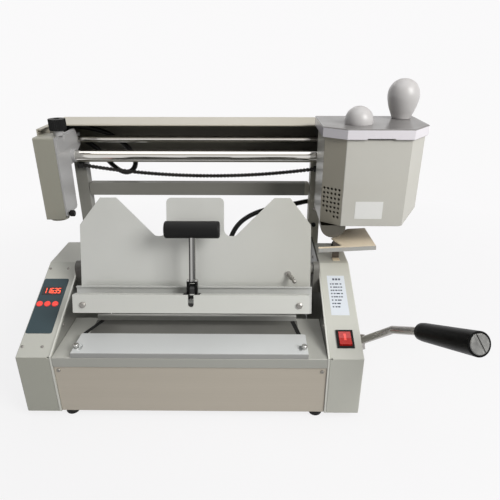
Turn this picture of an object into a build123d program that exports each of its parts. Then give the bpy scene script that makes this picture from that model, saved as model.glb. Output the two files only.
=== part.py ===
# Tabletop perfect binding machine: a book block is clamped spine down over the table,
# the clamp turns over, a milling head and a glue head slide along two rods across the
# raised spine, the clamp turns back and a nipping plate presses the cover on.
# Millimetres. X runs left to right, Y from the operator's side to the back, Z up.
# Work is drawn from the middle of the front edge at floor level, and every piece is
# moved to the middle of the whole machine's footprint when it is written out.
from build123d import *
import math
import os

# Base cabinet
base_width = 520.0
side_box_width = 50.5
pan_depth = 309.0
foot_height = 12.0
foot_radius = 10.5
foot_x, foot_front = 194.0, 15.0
deck_height = 114.0
slope_start = 0.5
slope_end = 170.0
box_top_height = 190.5
box_depth = 257.0
sheet = 1.5
deck_sheet = 2.0
side_plate = 3.0
fit_gap = 0.5
plate_depth = 284.7

# Tower and rails
post_width = 21.0
post_depth = 21.7
post_wall = 2.0
post_front = 285.5
left_post = -236.0
right_post = 199.5
cross_bar_low = 276.0
cross_bar_height = 23.5
cross_bar_gap = 1.2
channel_front = 278.0
channel_back = 365.0
channel_top = 407.5
channel_bottom = 341.0
channel_left = -271.0
channel_right = 378.0
channel_sheet = 2.0
channel_lip = 6.0
main_rod_y, main_rod_z, main_rod_radius = 268.0, 355.5, 9.0
rear_rod_y, rear_rod_z, rear_rod_radius = 312.0, 376.0, 6.0
running = 0.05

# Clamp, drawn upright round its pivot: u is up the plates, w is towards the operator
pivot_y, pivot_z = 150.0, 190.0
lean = 19.07
clamp_middle = 2.5
plate_face = 52.0
plate_thick = 3.0
plate_half = 183.0
plate_low = -62.0
plate_shoulder = 75.0
plate_peak = 118.0
plate_valley = 57.5
plate_tab_half = 45.5
plate_valley_outer = 63.5
jaw_gap = 17.7
jaw_thick = 3.0
jaw_top = -19.4
bar_face = 113.4
bar_half = 175.0
bar_low, bar_high = -53.1, -25.8
bar_depth = 14.0
guide_rod_radius = 5.0
guide_rod_x = 160.0
trunnion_radius = 7.0
trunnion_play = 3.2
bearing_x = (195.5, 206.0)
bearing_radius = 12.0
lever_pivot_w, lever_pivot_u = 92.0, -32.4
lever_crank = 14.0
crank_pin_radius = 2.5
lever_swing = 50.0
grip_u = 69.6
grip_length = 83.0
grip_radius = 13.0

# Nipping plate and its side lever
nip_half = 177.0
nip_depth = 53.5
nip_thick = 7.7
nip_travel = 47.4
nip_bar_front = 104.5
nip_bar_depth = 6.0
nip_bar_height = 9.0
deck_depth = 112.0
shaft_y, shaft_z, shaft_radius = 64.0, 101.0, 7.0
bush_radius = 9.0
nip_crank = 51.8
lever_rest_angle = 35.0
yoke_x = 150.0

# Glue head
head_left, head_right = 201.0, 369.0
head_front, head_back = 143.0, 272.0
shell_back = 252.0
hinge_y, hinge_z = 275.2, 411.2
head_top = 424.3
rim_height = 15.8
shell_inset = 4.0
shell_low = 268.5
roller_radius = 18.0
roller_x, roller_y, roller_z = 256.0, 222.0, 271.5
roller_width = 44.0
head_travel = 390.0

# Milling head
slider_low = 342.6
slider_lip = 276.9
mill_left, mill_right = -266.0, -229.0
mill_front = 200.0
mill_low, mill_high = 258.0, 399.0
mill_travel = 360.0

plate_inner = base_width / 2 - side_box_width - fit_gap - side_plate
plate_outer = plate_inner + side_plate
box_inner = base_width / 2 - side_box_width
deck_half = plate_inner - fit_gap
slope_angle = math.degrees(math.atan2(box_top_height - deck_height, slope_end - slope_start))
nodes = {}


def span(x, y, z):
    """A block between pairs of limits along X, Y and Z."""
    size = [b - a for a, b in (x, y, z)]
    return Pos(*[(a + b) / 2 for a, b in (x, y, z)]) * Box(*size)


def rod_x(radius, x, y, z):
    return Pos((x[0] + x[1]) / 2, y, z) * Rot(0, 90, 0) * Cylinder(radius, x[1] - x[0])


def rod_y(radius, x, y, z):
    return Pos(x, (y[0] + y[1]) / 2, z) * Rot(90, 0, 0) * Cylinder(radius, y[1] - y[0])


def rod_z(radius, x, y, z):
    return Pos(x, y, (z[0] + z[1]) / 2) * Cylinder(radius, z[1] - z[0])


def outline(points, radius=0.0):
    """A closed flat face through 3D points, with one radius at every corner."""
    if radius:
        return make_face(FilletPolyline(*points, radius=radius, close=True))
    return make_face(Polyline(*points, close=True))


def side_profile(points, x, radius=0.0):
    """(Y, Z) corners drawn out along X."""
    face = outline([(x[0], y, z) for y, z in points], radius)
    return extrude(face, amount=x[1] - x[0], dir=(1, 0, 0))


def plan_profile(points, z, radius=0.0):
    """(X, Y) corners drawn out along Z."""
    face = outline([(x, y, z[0]) for x, y in points], radius)
    return extrude(face, amount=z[1] - z[0], dir=(0, 0, 1))


def front_profile(points, y, radius=0.0):
    """(X, Z) corners drawn out along Y."""
    face = outline([(x, y[0], z) for x, z in points], radius)
    return extrude(face, amount=y[1] - y[0], dir=(0, 1, 0))


def slot_z(half_width, ends, z):
    """A round-ended slot through Z between two (X, Y) centres."""
    (x0, y0), (x1, y1) = ends
    run = math.hypot(x1 - x0, y1 - y0)
    turn = math.degrees(math.atan2(y1 - y0, x1 - x0))
    body = Box(run, 2 * half_width, z[1] - z[0])
    middle = Pos((x0 + x1) / 2, (y0 + y1) / 2, (z[0] + z[1]) / 2) * Rot(0, 0, turn)
    return (middle * body) + rod_z(half_width, x0, y0, z) + rod_z(half_width, x1, y1, z)


def mirrored(part):
    return part.mirror(Plane.YZ)


def slope_place(x, along, out=0.0):
    """A place on the sloping control face: along it from the front edge, and out of it."""
    turn = Rot(slope_angle, 0, 0)
    return Pos(0, slope_start, deck_height) * turn * Pos(x, along, out)


# Base cabinet


def make_base_pan():
    floor = span((-deck_half, deck_half), (4, pan_depth), (foot_height, foot_height + sheet))
    back = span((-238, 238), (pan_depth - sheet, pan_depth), (foot_height, 112))
    pan = floor + back
    for side in (-1, 1):
        for row in range(5):
            pan -= span(
                (side * 110 - 40, side * 110 + 40),
                (pan_depth - 5, pan_depth + 5),
                (40 + 9 * row, 44 + 9 * row),
            )
    return pan


def make_feet():
    feet = []
    for x in (-foot_x, foot_x):
        for y in (foot_front, pan_depth - 24):
            foot = rod_z(foot_radius, x, y, (0, foot_height))
            foot = fillet(foot.edges().group_by(Axis.Z)[0], 4)
            feet.append(foot)
    return feet


def make_front_panel():
    face = span((-deck_half, deck_half), (2, 2 + sheet), (foot_height + 0.5, 97))
    foot = span((-deck_half, deck_half), (2, 14), (foot_height + sheet, foot_height + 2 * sheet))
    return face + foot


cover_guide_slots = (((-175.5, 66.0), (-158.5, 101.5)), ((168.0, 65.0), (160.5, 101.5)))
carrier_pin_x, carrier_pin_y = 171.0, 6.5


def make_table():
    low = deck_height - deck_sheet
    deck = span((-deck_half, deck_half), (0, deck_depth), (low, deck_height))
    lip = span((-deck_half, deck_half), (0, deck_sheet), (98, deck_height))
    back = span((-deck_half, deck_half), (deck_depth - deck_sheet, deck_depth), (90, deck_height))
    deck = fillet((deck + lip + back).edges().filter_by(Axis.X).group_by(Axis.Z)[-1], 1.2)
    through = (low - 1, deck_height + 1)
    for ends in cover_guide_slots:
        deck -= slot_z(2.6, ends, through)
    for side in (-1, 1):
        x = side * carrier_pin_x
        deck -= slot_z(3.4, ((x, carrier_pin_y), (x, carrier_pin_y + nip_travel)), through)
    groove = span((-160, 160), (58, 60), (deck_height - 0.6, deck_height + 1))
    return deck - groove


def make_rear_nip_bar():
    depth = (nip_bar_front, nip_bar_front + nip_bar_depth)
    bar = span((-166.5, 166.5), depth, (deck_height, deck_height + nip_bar_height))
    return chamfer(bar.edges().filter_by(Axis.X).group_by(Axis.Z)[-1], 0.8)


def make_side_plate():
    corners = [
        (0, foot_height),
        (0, deck_height + 1.5),
        (slope_end - 2, box_top_height + 1.5),
        (plate_depth, box_top_height + 1.5),
        (plate_depth, foot_height),
    ]
    plate = side_profile(corners, (plate_inner, plate_outer))
    return plate - rod_x(bush_radius, (plate_inner - 1, plate_outer + 1), shaft_y, shaft_z)


def make_side_cover():
    """The right cover; the left one is its mirror image before its own cut-outs."""
    profile = [
        (slope_start, foot_height),
        (slope_start, deck_height),
        (slope_end, box_top_height),
        (box_depth, box_top_height),
        (box_depth, foot_height),
    ]
    outer = side_profile(profile, (box_inner, base_width / 2))
    outer = fillet(outer.faces().sort_by(Axis.X)[-1].edges(), 1.8)
    wall = offset(outline([(box_inner - 1, y, z) for y, z in profile]), amount=-sheet)
    inner = extrude(wall, amount=side_box_width - sheet + 1, dir=(1, 0, 0))
    relief = rod_x(1.8, (box_inner - 1, box_inner + 3.5), 0.8, deck_height)
    return outer - inner - relief


button_x = (-251.8, -239.2, -226.6)
button_along = 97.0
button_radius = 5.0
panel_x = (-258.0, -217.0)
panel_along = (41.7, 148.6)
panel_thick = 0.6
display_x = (-254.0, -222.0)
display_along = (115.0, 131.5)
switch_x, switch_along = 235.0, 34.5
switch_width, switch_length = 26.0, 31.5
rocker_width, rocker_length = 18.4, 23.8
well_width, well_length = 19.2, 25.2


def on_slope(x, along, out):
    """A block laid on the sloping face, between pairs of limits."""
    middle = slope_place((x[0] + x[1]) / 2, (along[0] + along[1]) / 2, (out[0] + out[1]) / 2)
    return middle * Box(x[1] - x[0], along[1] - along[0], out[1] - out[0])


def make_left_cover():
    cover = mirrored(make_side_cover())
    for x in button_x:
        cover -= slope_place(x, button_along) * Cylinder(button_radius + 0.4, 12)
    cover -= on_slope((display_x[0] + 1, display_x[1] - 1), (116, 130.5), (-4, 4))
    return cover


def make_right_cover():
    cover = make_side_cover()
    half_w, half_l = switch_width / 2 - 1, switch_length / 2 - 1
    cut_x = (switch_x - half_w, switch_x + half_w)
    cover -= on_slope(cut_x, (switch_along - half_l, switch_along + half_l), (-5, 5))
    cover -= rod_x(shaft_radius + 3.5, (250, 270), shaft_y, shaft_z)
    cover -= span((inlet_x - 13.7, inlet_x + 13.7), (250, 260), (inlet_z - 10.2, inlet_z + 10.2))
    cover -= rod_z(6.2, gland_x, gland_y, (185, 195))
    return cover


inlet_x, inlet_z = 236.0, 46.0
gland_x, gland_y = 249.0, 245.0


def make_control_panel():
    middle = slope_place(sum(panel_x) / 2, sum(panel_along) / 2, panel_thick / 2)
    size = (panel_x[1] - panel_x[0], panel_along[1] - panel_along[0])
    face = RectangleRounded(*size, 3.0)
    panel = middle * Pos(0, 0, -panel_thick / 2) * extrude(face, amount=panel_thick)
    for x in button_x:
        panel -= slope_place(x, button_along) * Cylinder(button_radius + 0.3, 12)
    return panel - on_slope(display_x, display_along, (-4, 4))


def make_display():
    glass = on_slope(display_x, display_along, (0, 0.9))
    body = on_slope((display_x[0] + 1.2, display_x[1] - 1.2), (116.2, 130.3), (-7, 0))
    return glass + body


def make_control_board():
    board = on_slope((-256, -216), (60, 160), (-10.6, -9))
    board += on_slope((-252, -220), (66, 84), (-20, -10.6))
    for x in (-254, -218):
        for along in (64, 156):
            board += slope_place(x, along, -5.25) * Cylinder(2, 7.5)
    return board


def make_button(x):
    cap = Pos(0, 0, -1.2) * Cylinder(button_radius, 6)
    cap = fillet(cap.edges().group_by(Axis.Z)[-1], 0.8)
    return slope_place(x, button_along) * cap


def make_switch_bezel():
    frame = on_slope(
        (switch_x - switch_width / 2, switch_x + switch_width / 2),
        (switch_along - switch_length / 2, switch_along + switch_length / 2),
        (0, 2),
    )
    frame = chamfer(frame.faces().sort_by(Axis.Z)[-1].edges(), 0.5)
    body = on_slope(
        (switch_x - switch_width / 2 + 1.3, switch_x + switch_width / 2 - 1.3),
        (switch_along - switch_length / 2 + 1.3, switch_along + switch_length / 2 - 1.3),
        (-18, 0),
    )
    well = on_slope(
        (switch_x - well_width / 2, switch_x + well_width / 2),
        (switch_along - well_length / 2, switch_along + well_length / 2),
        (-9, 6),
    )
    return frame + body - well


def make_rocker():
    half = rocker_length / 2
    points = [(-half, -3.6), (-half, 3.2), (0, 2.2), (half, 3.2), (half, -3.6), (0, -7)]
    face = outline([(-rocker_width / 2, a, b) for a, b in points])
    key = extrude(face, amount=rocker_width, dir=(1, 0, 0))
    return slope_place(switch_x, switch_along, 0.6) * Rot(-7, 0, 0) * key


def make_power_inlet():
    body = span((inlet_x - 13.4, inlet_x + 13.4), (232, box_depth), (inlet_z - 9.9, inlet_z + 9.9))
    flange = span((inlet_x - 18, inlet_x + 18), (box_depth, box_depth + 2.5), (inlet_z - 13, inlet_z + 13))
    well = span((inlet_x - 11.5, inlet_x + 11.5), (240, box_depth + 3), (inlet_z - 8, inlet_z + 8))
    inlet = body + flange - well
    for x, z in ((-7, -2), (0, 2.5), (7, -2)):
        inlet += span((inlet_x + x - 1, inlet_x + x + 1), (239, 255), (inlet_z + z - 2, inlet_z + z + 2))
    return inlet


# Tower


def make_posts():
    low = foot_height + 2
    posts = []
    for x in (left_post, right_post):
        tube = span((x, x + post_width), (post_front, post_front + post_depth), (low, channel_bottom))
        posts.append(tube - span(
            (x + post_wall, x + post_width - post_wall),
            (post_front + post_wall, post_front + post_depth - post_wall),
            (low - 1, channel_bottom + 1),
        ))
    return posts


def make_cross_bar():
    """A channel section between the posts, with a tab and a stud at each post."""
    low, high = cross_bar_low, cross_bar_low + cross_bar_height
    front, back = post_front, post_front + 15
    corners = [
        (front, low),
        (front, high),
        (back, high),
        (back, high - 2),
        (front + 2, high - 2),
        (front + 2, low + 2),
        (back, low + 2),
        (back, low),
    ]
    ends = (left_post + post_width + cross_bar_gap, right_post - cross_bar_gap)
    bar = side_profile(corners, ends)
    for x in ends:
        tab = (x, x + 2) if x < 0 else (x - 2, x)
        bar += span(tab, (front, back), (low, high))
    rim = [(ends[0], low), (ends[0], high), (ends[1], high), (ends[1], low)]
    bar &= front_profile(rim, (front, back), 4)
    for x, way in zip(ends, (-1, 1)):
        bar += rod_x(3, sorted((x - way, x + way * cross_bar_gap)), front + 8, (low + high) / 2)
    return bar


loop_cut_x = (-208.0, -112.0)


def make_channel():
    t = channel_sheet
    left = channel_left + t
    right = channel_right - t
    top = span((left, right), (channel_front, channel_back), (channel_top - t, channel_top))
    back = span((left, right), (channel_back - t, channel_back), (channel_bottom, channel_top))
    floor = span((left, right), (channel_front, channel_back), (channel_bottom, channel_bottom + t))
    lip_z = (channel_bottom, channel_bottom + channel_lip)
    lip = span((left, right), (channel_front, channel_front + t), lip_z)
    body = top + back + floor + lip
    return body - span(loop_cut_x, (324, 352), (channel_bottom - 2, channel_bottom + t + 2))


def make_end_plates():
    t = channel_sheet
    corners = [
        (232, channel_top - 22),
        (232, channel_top),
        (channel_back, channel_top),
        (channel_back, channel_bottom),
        (255, channel_bottom),
    ]
    plate = side_profile(corners, (0, t))
    plate -= rod_x(main_rod_radius, (-1, t + 1), main_rod_y, main_rod_z)
    plate -= rod_x(rear_rod_radius, (-1, t + 1), rear_rod_y, rear_rod_z)
    rim = span((0, 9), (232, channel_front - 0.5), (channel_top - t, channel_top))
    left = Pos(channel_left, 0, 0) * (plate + rim)
    right = Pos(channel_right, 0, 0) * mirrored(plate + rim)
    return [left, right]


def make_guide_rod(radius, y, z):
    rod = rod_x(radius, (channel_left - 1, channel_right + 1), y, z)
    return chamfer(rod.edges(), 0.8)


chain_y = 278.0
chain_pitch = 6.35
chain_middle_x = 14.7
chain_middle_z = 315.5
chain_ends = (-218.0, 207.0)
chain_sag = 3.654e-4


def chain_height(x):
    return chain_middle_z + chain_sag * (x - chain_middle_x) ** 2


def chain_joints():
    """Pin centres laid one pitch apart along the sagging chain."""
    points = [(chain_ends[0], chain_height(chain_ends[0]))]
    while points[-1][0] < chain_ends[1] - chain_pitch:
        x, z = points[-1]
        slope = 2 * chain_sag * (x - chain_middle_x)
        guess = x + chain_pitch / math.hypot(1, slope)
        for _ in range(4):
            run = math.hypot(guess - x, chain_height(guess) - z)
            guess += (chain_pitch - run) / math.hypot(1, slope)
        points.append((guess, chain_height(guess)))
    return points


def link_plate(start, end, y, half_height):
    """One flat link plate between two pins, narrower at its waist."""
    (x0, z0), (x1, z1) = start, end
    run = math.hypot(x1 - x0, z1 - z0)
    ux, uz = (x1 - x0) / run, (z1 - z0) / run
    h = half_height
    upper = [(-h, 0), (-h * 0.5, h), (h * 0.55, h), (run / 2, h * 0.5), (run - h * 0.55, h), (run + h * 0.5, h)]
    local = upper + [(run - a, -b) for a, b in upper]
    points = [(x0 + a * ux - b * uz, z0 + a * uz + b * ux) for a, b in local]
    return front_profile(points, y)


def pin_prism(centre, radius, y):
    points = [
        (
            centre[0] + radius * math.cos(math.radians(60 * k)),
            centre[1] + radius * math.sin(math.radians(60 * k)),
        )
        for k in range(6)
    ]
    return front_profile(points, y)


def make_chain():
    """Roller links and pin links in turn: each pin link's pins run through the rollers."""
    joints = chain_joints()
    links = []
    for k, (start, end) in enumerate(zip(joints, joints[1:])):
        if k % 2 == 0:
            link = link_plate(start, end, (chain_y - 2.3, chain_y - 1.6), 2.9)
            link += link_plate(start, end, (chain_y + 1.6, chain_y + 2.3), 2.9)
            for centre in (start, end):
                roller = pin_prism(centre, 1.75, (chain_y - 1.6, chain_y + 1.6))
                link += roller
                link -= pin_prism(centre, 1.15, (chain_y - 3, chain_y + 3))
        else:
            link = link_plate(start, end, (chain_y - 3.1, chain_y - 2.4), 2.7)
            link += link_plate(start, end, (chain_y + 2.4, chain_y + 3.1), 2.7)
            for centre in (start, end):
                link += pin_prism(centre, 0.95, (chain_y - 3.1, chain_y + 3.1))
        links.append(link)
    return links


def make_chain_anchors():
    joints = chain_joints()
    anchors = []
    for side, (x, z) in ((-1, joints[0]), (1, joints[-1])):
        out = x + side * 8
        fork = span(sorted((x - side * 2, out)), (chain_y - 5, chain_y - 3.6), (z - 4, z + 4))
        fork += span(sorted((x - side * 2, out)), (chain_y + 3.6, chain_y + 5), (z - 4, z + 4))
        fork += span(sorted((x + side * 4.5, out)), (chain_y - 5, chain_y + 5), (z - 4, z + 4))
        fork += rod_y(0.9, x, (chain_y - 5, chain_y + 5), z)
        fork += span(sorted((x + side * 5.5, out)), (chain_y + 5, post_front), (z - 4, z + 4))
        anchors.append(fork)
    return anchors


# Conduits


def corner_radii(points):
    radii = []
    for a, b, c in zip(points, points[1:], points[2:]):
        before = Vector(b) - Vector(a)
        after = Vector(c) - Vector(b)
        half_turn = math.radians(before.get_angle(after)) / 2
        radii.append(0.45 * min(before.length, after.length) / math.tan(half_turn))
    return radii


def conduit(name, points, radius):
    radii = corner_radii(points)
    print(name, "bend radii", [round(r, 1) for r in radii])
    path = FilletPolyline(*points, radius=radii)
    start = Plane(origin=points[0], z_dir=Vector(points[1]) - Vector(points[0]))
    tube = sweep(start * Circle(radius), path=path)
    print(name, "length", round(path.length, 1))
    return tube


conduit_radius = 5.0
supply_route = [
    (50, 297, 30),
    (50, 297, 85),
    (47, 298, 130),
    (45, 299, 175),
    (62, 299, 212),
    (92, 300, 234),
    (130, 303, 245),
    (176, 313, 250),
    (208, 318.5, 256),
    (237, 317, 246),
    (250, 303, 231),
    (251, 282, 221),
    (250, 263, 217),
    (gland_x, gland_y, 212),
    (gland_x, gland_y, 197),
]
channel_route = [
    (-259, 336, 395),
    (-230, 336, 395),
    (-197, 335, 388),
    (-172, 335, 377),
    (-150, 335, 360),
    (-137, 335, 342),
    (-134, 336, 322),
    (-145, 336, 307),
    (-163, 336, 306),
    (-183, 337, 322),
    (-199, 337, 345),
    (-218, 338, 362),
    (-238, 339, 372),
    (-259, 339, 372),
]


def make_glands():
    x, y, _ = supply_route[0]
    lower = rod_z(9, x, y, (foot_height + sheet, 22)) + rod_z(7.5, x, y, (22, 30))
    upper = rod_z(9, gland_x, gland_y, (box_top_height, 193)) + rod_z(7.5, gland_x, gland_y, (193, 197))
    upper += rod_z(6, gland_x, gland_y, (184, box_top_height))
    inside = (channel_left + channel_sheet, channel_route[0][0])
    ends = [rod_x(7, inside, y, z) for _, y, z in (channel_route[0], channel_route[-1])]
    return [lower, upper] + ends


# Drip tray under the parked glue head


tray_height = 233.0
tray_right = 298.0
tray_slope = 3.3
tray_lip = 6.6


def make_drip_tray():
    """A folded sheet that falls a little towards the clamp, on one leg behind its front strip."""
    z = tray_height
    corners = [
        (203, 147),
        (tray_right, 147),
        (tray_right - 2, 229),
        (264, 229),
        (229.5, 189),
        (243, 155),
        (203, 155),
    ]
    tray = plan_profile(corners, (z - sheet, z))
    tray += span((203, tray_right), (147, 147 + sheet), (z - tray_lip, z))
    tray = Pos(tray_right, 0, z) * Rot(0, -tray_slope, 0) * Pos(-tray_right, 0, -z) * tray
    leg_x, leg_y = (234, 246), 191
    tray += span(leg_x, (leg_y, leg_y + sheet), (box_top_height, z - 4))
    tray += span(leg_x, (leg_y - 11, leg_y + sheet), (box_top_height, box_top_height + sheet))
    return tray


# Clamp


def upright(part):
    """From the clamp's own axes (X, u up, w towards the operator) to the leaning machine."""
    placed = Pos(clamp_middle, pivot_y, pivot_z) * part
    return placed.rotate(Axis((0, pivot_y, pivot_z), (1, 0, 0)), -lean)


def clamp_span(x, w, u):
    return span(x, (-w[1], -w[0]), u)


def clamp_pin(radius, x, w, u):
    """A round pin along the plates' normal."""
    return rod_y(radius, x, (-w[1], -w[0]), u)


def make_clamp_back_plate():
    half, tab = plate_half, plate_tab_half
    right = [
        (half, plate_low),
        (half, plate_shoulder),
        (150, plate_peak),
        (125, plate_peak),
        (plate_valley_outer, plate_valley),
        (tab, plate_valley),
        (tab, plate_peak),
    ]
    left = [(-x, z) for x, z in reversed(right)]
    face = make_face(Polyline(*[(x, -plate_face, z) for x, z in right + left], close=True))
    for x, z, radius in ((tab, plate_peak, 8), (tab, plate_valley, 11), (plate_valley_outer, plate_valley, 8)):
        corners = [v for v in face.vertices() if abs(abs(v.X) - x) < 0.1 and abs(v.Z - z) < 0.1]
        face = fillet(corners, radius)
    plate = extrude(face, amount=plate_thick, dir=(0, 1, 0))
    foot_x = (-plate_half + 6, plate_half - 6)
    plate += clamp_span(foot_x, (plate_face - 12, plate_face), (plate_low, plate_low + 3))
    for x in (-guide_rod_x, guide_rod_x):
        plate -= clamp_pin(guide_rod_radius, x, (plate_face - 4, plate_face + 1), rod_u)
    return upright(plate)


rod_u = -41.0


def make_side_arms():
    back = -plate_face + plate_thick
    corners = [(back, plate_low + 4), (back, 10), (0, 13), (13, 0), (0, -13)]
    arms = []
    for side in (-1, 1):
        x = sorted((side * (plate_half - 5), side * (plate_half - 1)))
        arm = side_profile(corners, x)
        pin_end, collar_end = [side * (x - trunnion_play) for x in (bearing_x[1], bearing_x[0])]
        pin = rod_x(trunnion_radius, sorted((side * (plate_half - 5), pin_end)), 0, 0)
        collar = rod_x(10, sorted((side * (plate_half - 1), collar_end)), 0, 0)
        arms.append(upright(arm + pin + collar))
    return arms


def make_guide_rods():
    rods = []
    for x in (-guide_rod_x, guide_rod_x):
        rods.append(upright(clamp_pin(guide_rod_radius, x, (plate_face - 3, bar_face - sheet * 2), rod_u)))
    return rods


bar_slot_half, bar_slot_depth = 4.2, 14.0


def make_front_bar():
    bar = clamp_span((-bar_half, bar_half), (bar_face - bar_depth, bar_face), (bar_low, bar_high))
    hollow = clamp_span(
        (-bar_half - 1, bar_half + 1),
        (bar_face - bar_depth - 1, bar_face - 2 * sheet),
        (bar_low + sheet, bar_high - sheet),
    )
    bar -= hollow
    depth = (bar_face - bar_depth - 1, bar_face + 1)
    slot_low = bar_high - bar_slot_depth
    slot = clamp_span((-bar_slot_half, bar_slot_half), depth, (slot_low, bar_high + 1))
    slot += clamp_pin(bar_slot_half, 0, depth, slot_low)
    yoke_w = (bar_face - bar_depth - 1, bar_face - 2 * sheet)
    yoke_room = clamp_span((-13, 13), yoke_w, (bar_high - 3, bar_high + 1))
    return upright(bar - slot - yoke_room)


def make_bar_screws():
    screws = []
    for x in (-guide_rod_x, guide_rod_x):
        head = clamp_pin(4.6, x, (bar_face, bar_face + 3), rod_u)
        head = chamfer(head.edges().group_by(Axis.Y)[0], 1.2, 2.2)
        screws.append(upright(head))
    return screws


stud_x, stud_u = 148.0, -2.4
stud_length = 24.0


def make_stop_pin():
    direction = Vector(0.36, -0.84, -0.40)
    place = Plane(origin=(stud_x, -plate_face - 0.1, stud_u), z_dir=direction)
    shank = place.location * Pos(0, 0, 7) * Cylinder(3.4, 14)
    neck = place.location * Pos(0, 0, 17) * Cylinder(2.2, 8)
    cap = place.location * Pos(0, 0, stud_length - 1.5) * Sphere(3.4)
    boss = clamp_pin(4.6, stud_x, (plate_face, plate_face + 3), stud_u)
    stud = shank + neck + cap + boss
    return upright(stud - clamp_span((stud_x - 20, stud_x + 20), (0, plate_face), (-30, 30)))


def make_lever_clevis():
    w, u = lever_pivot_w, lever_pivot_u
    block = clamp_span((-13, 13), (bar_face - bar_depth + 2, bar_face - 2 * sheet), (u - 16, u - 8))
    for side in (-1, 1):
        x = sorted((side * 9, side * 13))
        ear = clamp_span(x, (w - 6, bar_face - 2 * sheet), (u - 16, u + 4))
        ear += rod_x(6, x, -w, u)
        block += ear
    return upright(block + rod_x(3, (-13, 13), -w, u))


def make_jaw():
    back = plate_face + jaw_gap
    face = back + jaw_thick
    jaw = clamp_span((-plate_half, plate_half), (back, face), (plate_low, jaw_top))
    jaw += clamp_span((-plate_half, plate_half), (back, face + 3.5), (jaw_top - 2, jaw_top))
    for x in (-guide_rod_x, guide_rod_x):
        jaw += clamp_pin(guide_rod_radius + 4, x, (face, face + 9), rod_u)
        jaw -= clamp_pin(guide_rod_radius + running, x, (back - 1, face + 10), rod_u)
    w, u = lever_pivot_w, lever_pivot_u
    lug_low = u + 3.4
    lug_high = u + lever_crank + crank_pin_radius + 3.5
    heel = u + 8.6
    lug_corners = [
        (-face, lug_low),
        (-face, heel),
        (-w + 9.5, heel),
        (-w + 1.2, lug_high),
        (-w - 0.3, lug_high),
        (-w - 6, lug_high - 6.6),
        (-w - 6, lug_low),
    ]
    lug = side_profile(lug_corners, (-3.6, 3.6))
    half = crank_pin_radius + 1.3
    end = lever_crank * math.cos(math.radians(lever_swing))
    slot_low = u + end - crank_pin_radius - 0.6
    slot_top = u + lever_crank - 1
    slot = span((-5, 5), (-w - half, -w + half), (slot_low, slot_top))
    slot += rod_x(half, (-5, 5), -w, slot_top)
    return upright(jaw + lug - slot)


def make_clamp_lever():
    w, u = lever_pivot_w, lever_pivot_u
    fork_top = u + lever_crank + crank_pin_radius + 10
    lever = clamp_pin_u(5, w, fork_top - 2, grip_u - grip_radius + 4)
    lever += clamp_span((-8, 8), (w - 6, w + 6), (fork_top - 4.5, fork_top))
    for side in (-1, 1):
        x = sorted((side * 4.1, side * 8))
        cheek = clamp_span(x, (w - 6, w + 6), (u, fork_top))
        cheek += rod_x(6, x, -w, u)
        cheek -= rod_x(3 + running, x, -w, u)
        lever += cheek
    lever += rod_x(crank_pin_radius, (-8, 8), -w, u + lever_crank)
    return upright(lever)


def clamp_pin_u(radius, w, low, high):
    """A round bar standing along the plates."""
    return rod_z(radius, 0, -w, (low, high))


def make_lever_bar_grip():
    x = (-grip_length / 2, grip_length / 2)
    grip = rod_x(grip_radius, x, -lever_pivot_w, grip_u)
    grip = fillet(grip.edges().filter_by(GeomType.CIRCLE), 3)
    socket = clamp_pin_u(5, lever_pivot_w, grip_u - grip_radius - 1, grip_u - grip_radius + 4)
    return upright(grip - socket)


# Nipping plate


stop_pin_x, stop_pin_y = 171.6, 15.0
stop_slot_x = 165.8


def make_nip_plate():
    high = deck_height + 0.3 + nip_thick
    plate = span((-nip_half, nip_half), (0.5, 0.5 + nip_depth), (deck_height + 0.3, high))
    plate = fillet(plate.edges().filter_by(Axis.Z).group_by(Axis.Y)[-1], 3)
    plate = fillet(plate.edges().filter_by(Axis.X).group_by(Axis.Z)[-1], 1)
    for x in (-stop_slot_x, stop_slot_x):
        plate -= slot_z(2.2, ((x, 12.5), (x, 21)), (high - 6, high + 1))
    return plate


def make_nip_carriage():
    """The bar under the table that carries the plate's pins and its two slotted yokes."""
    front, back = 3.9, 8.4
    bar = span((-176, 176), (front, back), (100, 110.5))
    pieces = bar
    for side in (-1, 1):
        pieces += rod_z(3, side * carrier_pin_x, carrier_pin_y, (108, deck_height + 0.3))
        rest = math.radians(lever_rest_angle)
        pin_y = shaft_y - nip_crank * math.sin(rest)
        low = shaft_z - nip_crank
        high = shaft_z - nip_crank * math.cos(rest)
        slot_low, slot_high = low - 0.5, high + 0.5
        corners = [
            (front, 110),
            (back, 110),
            (back, 88),
            (pin_y + 8.5, slot_high + 9),
            (pin_y + 8.5, slot_low - 8),
            (pin_y - 8.5, slot_low - 8),
            (pin_y - 8.5, slot_high + 2),
            (front, 84),
        ]
        x = sorted((side * (yoke_x - 2), side * (yoke_x + 2)))
        arm = side_profile(corners, x)
        half = 3 + 1.2
        slot = span((x[0] - 1, x[1] + 1), (pin_y - half, pin_y + half), (slot_low, slot_high))
        slot += rod_x(half, (x[0] - 1, x[1] + 1), pin_y, slot_low)
        slot += rod_x(half, (x[0] - 1, x[1] + 1), pin_y, slot_high)
        pieces += arm - slot
    return pieces


def make_nip_pins():
    """Two headed cover stops standing on the plate beside its slots."""
    high = deck_height + 0.3 + nip_thick
    pins = []
    for x in (-stop_pin_x, stop_pin_x):
        pin = rod_z(3.4, x, stop_pin_y, (high, high + 7))
        head = rod_z(4.4, x, stop_pin_y, (high + 3.5, high + 7))
        pins.append(pin + fillet(head.edges().group_by(Axis.Z)[-1], 1.5))
    return pins


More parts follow.
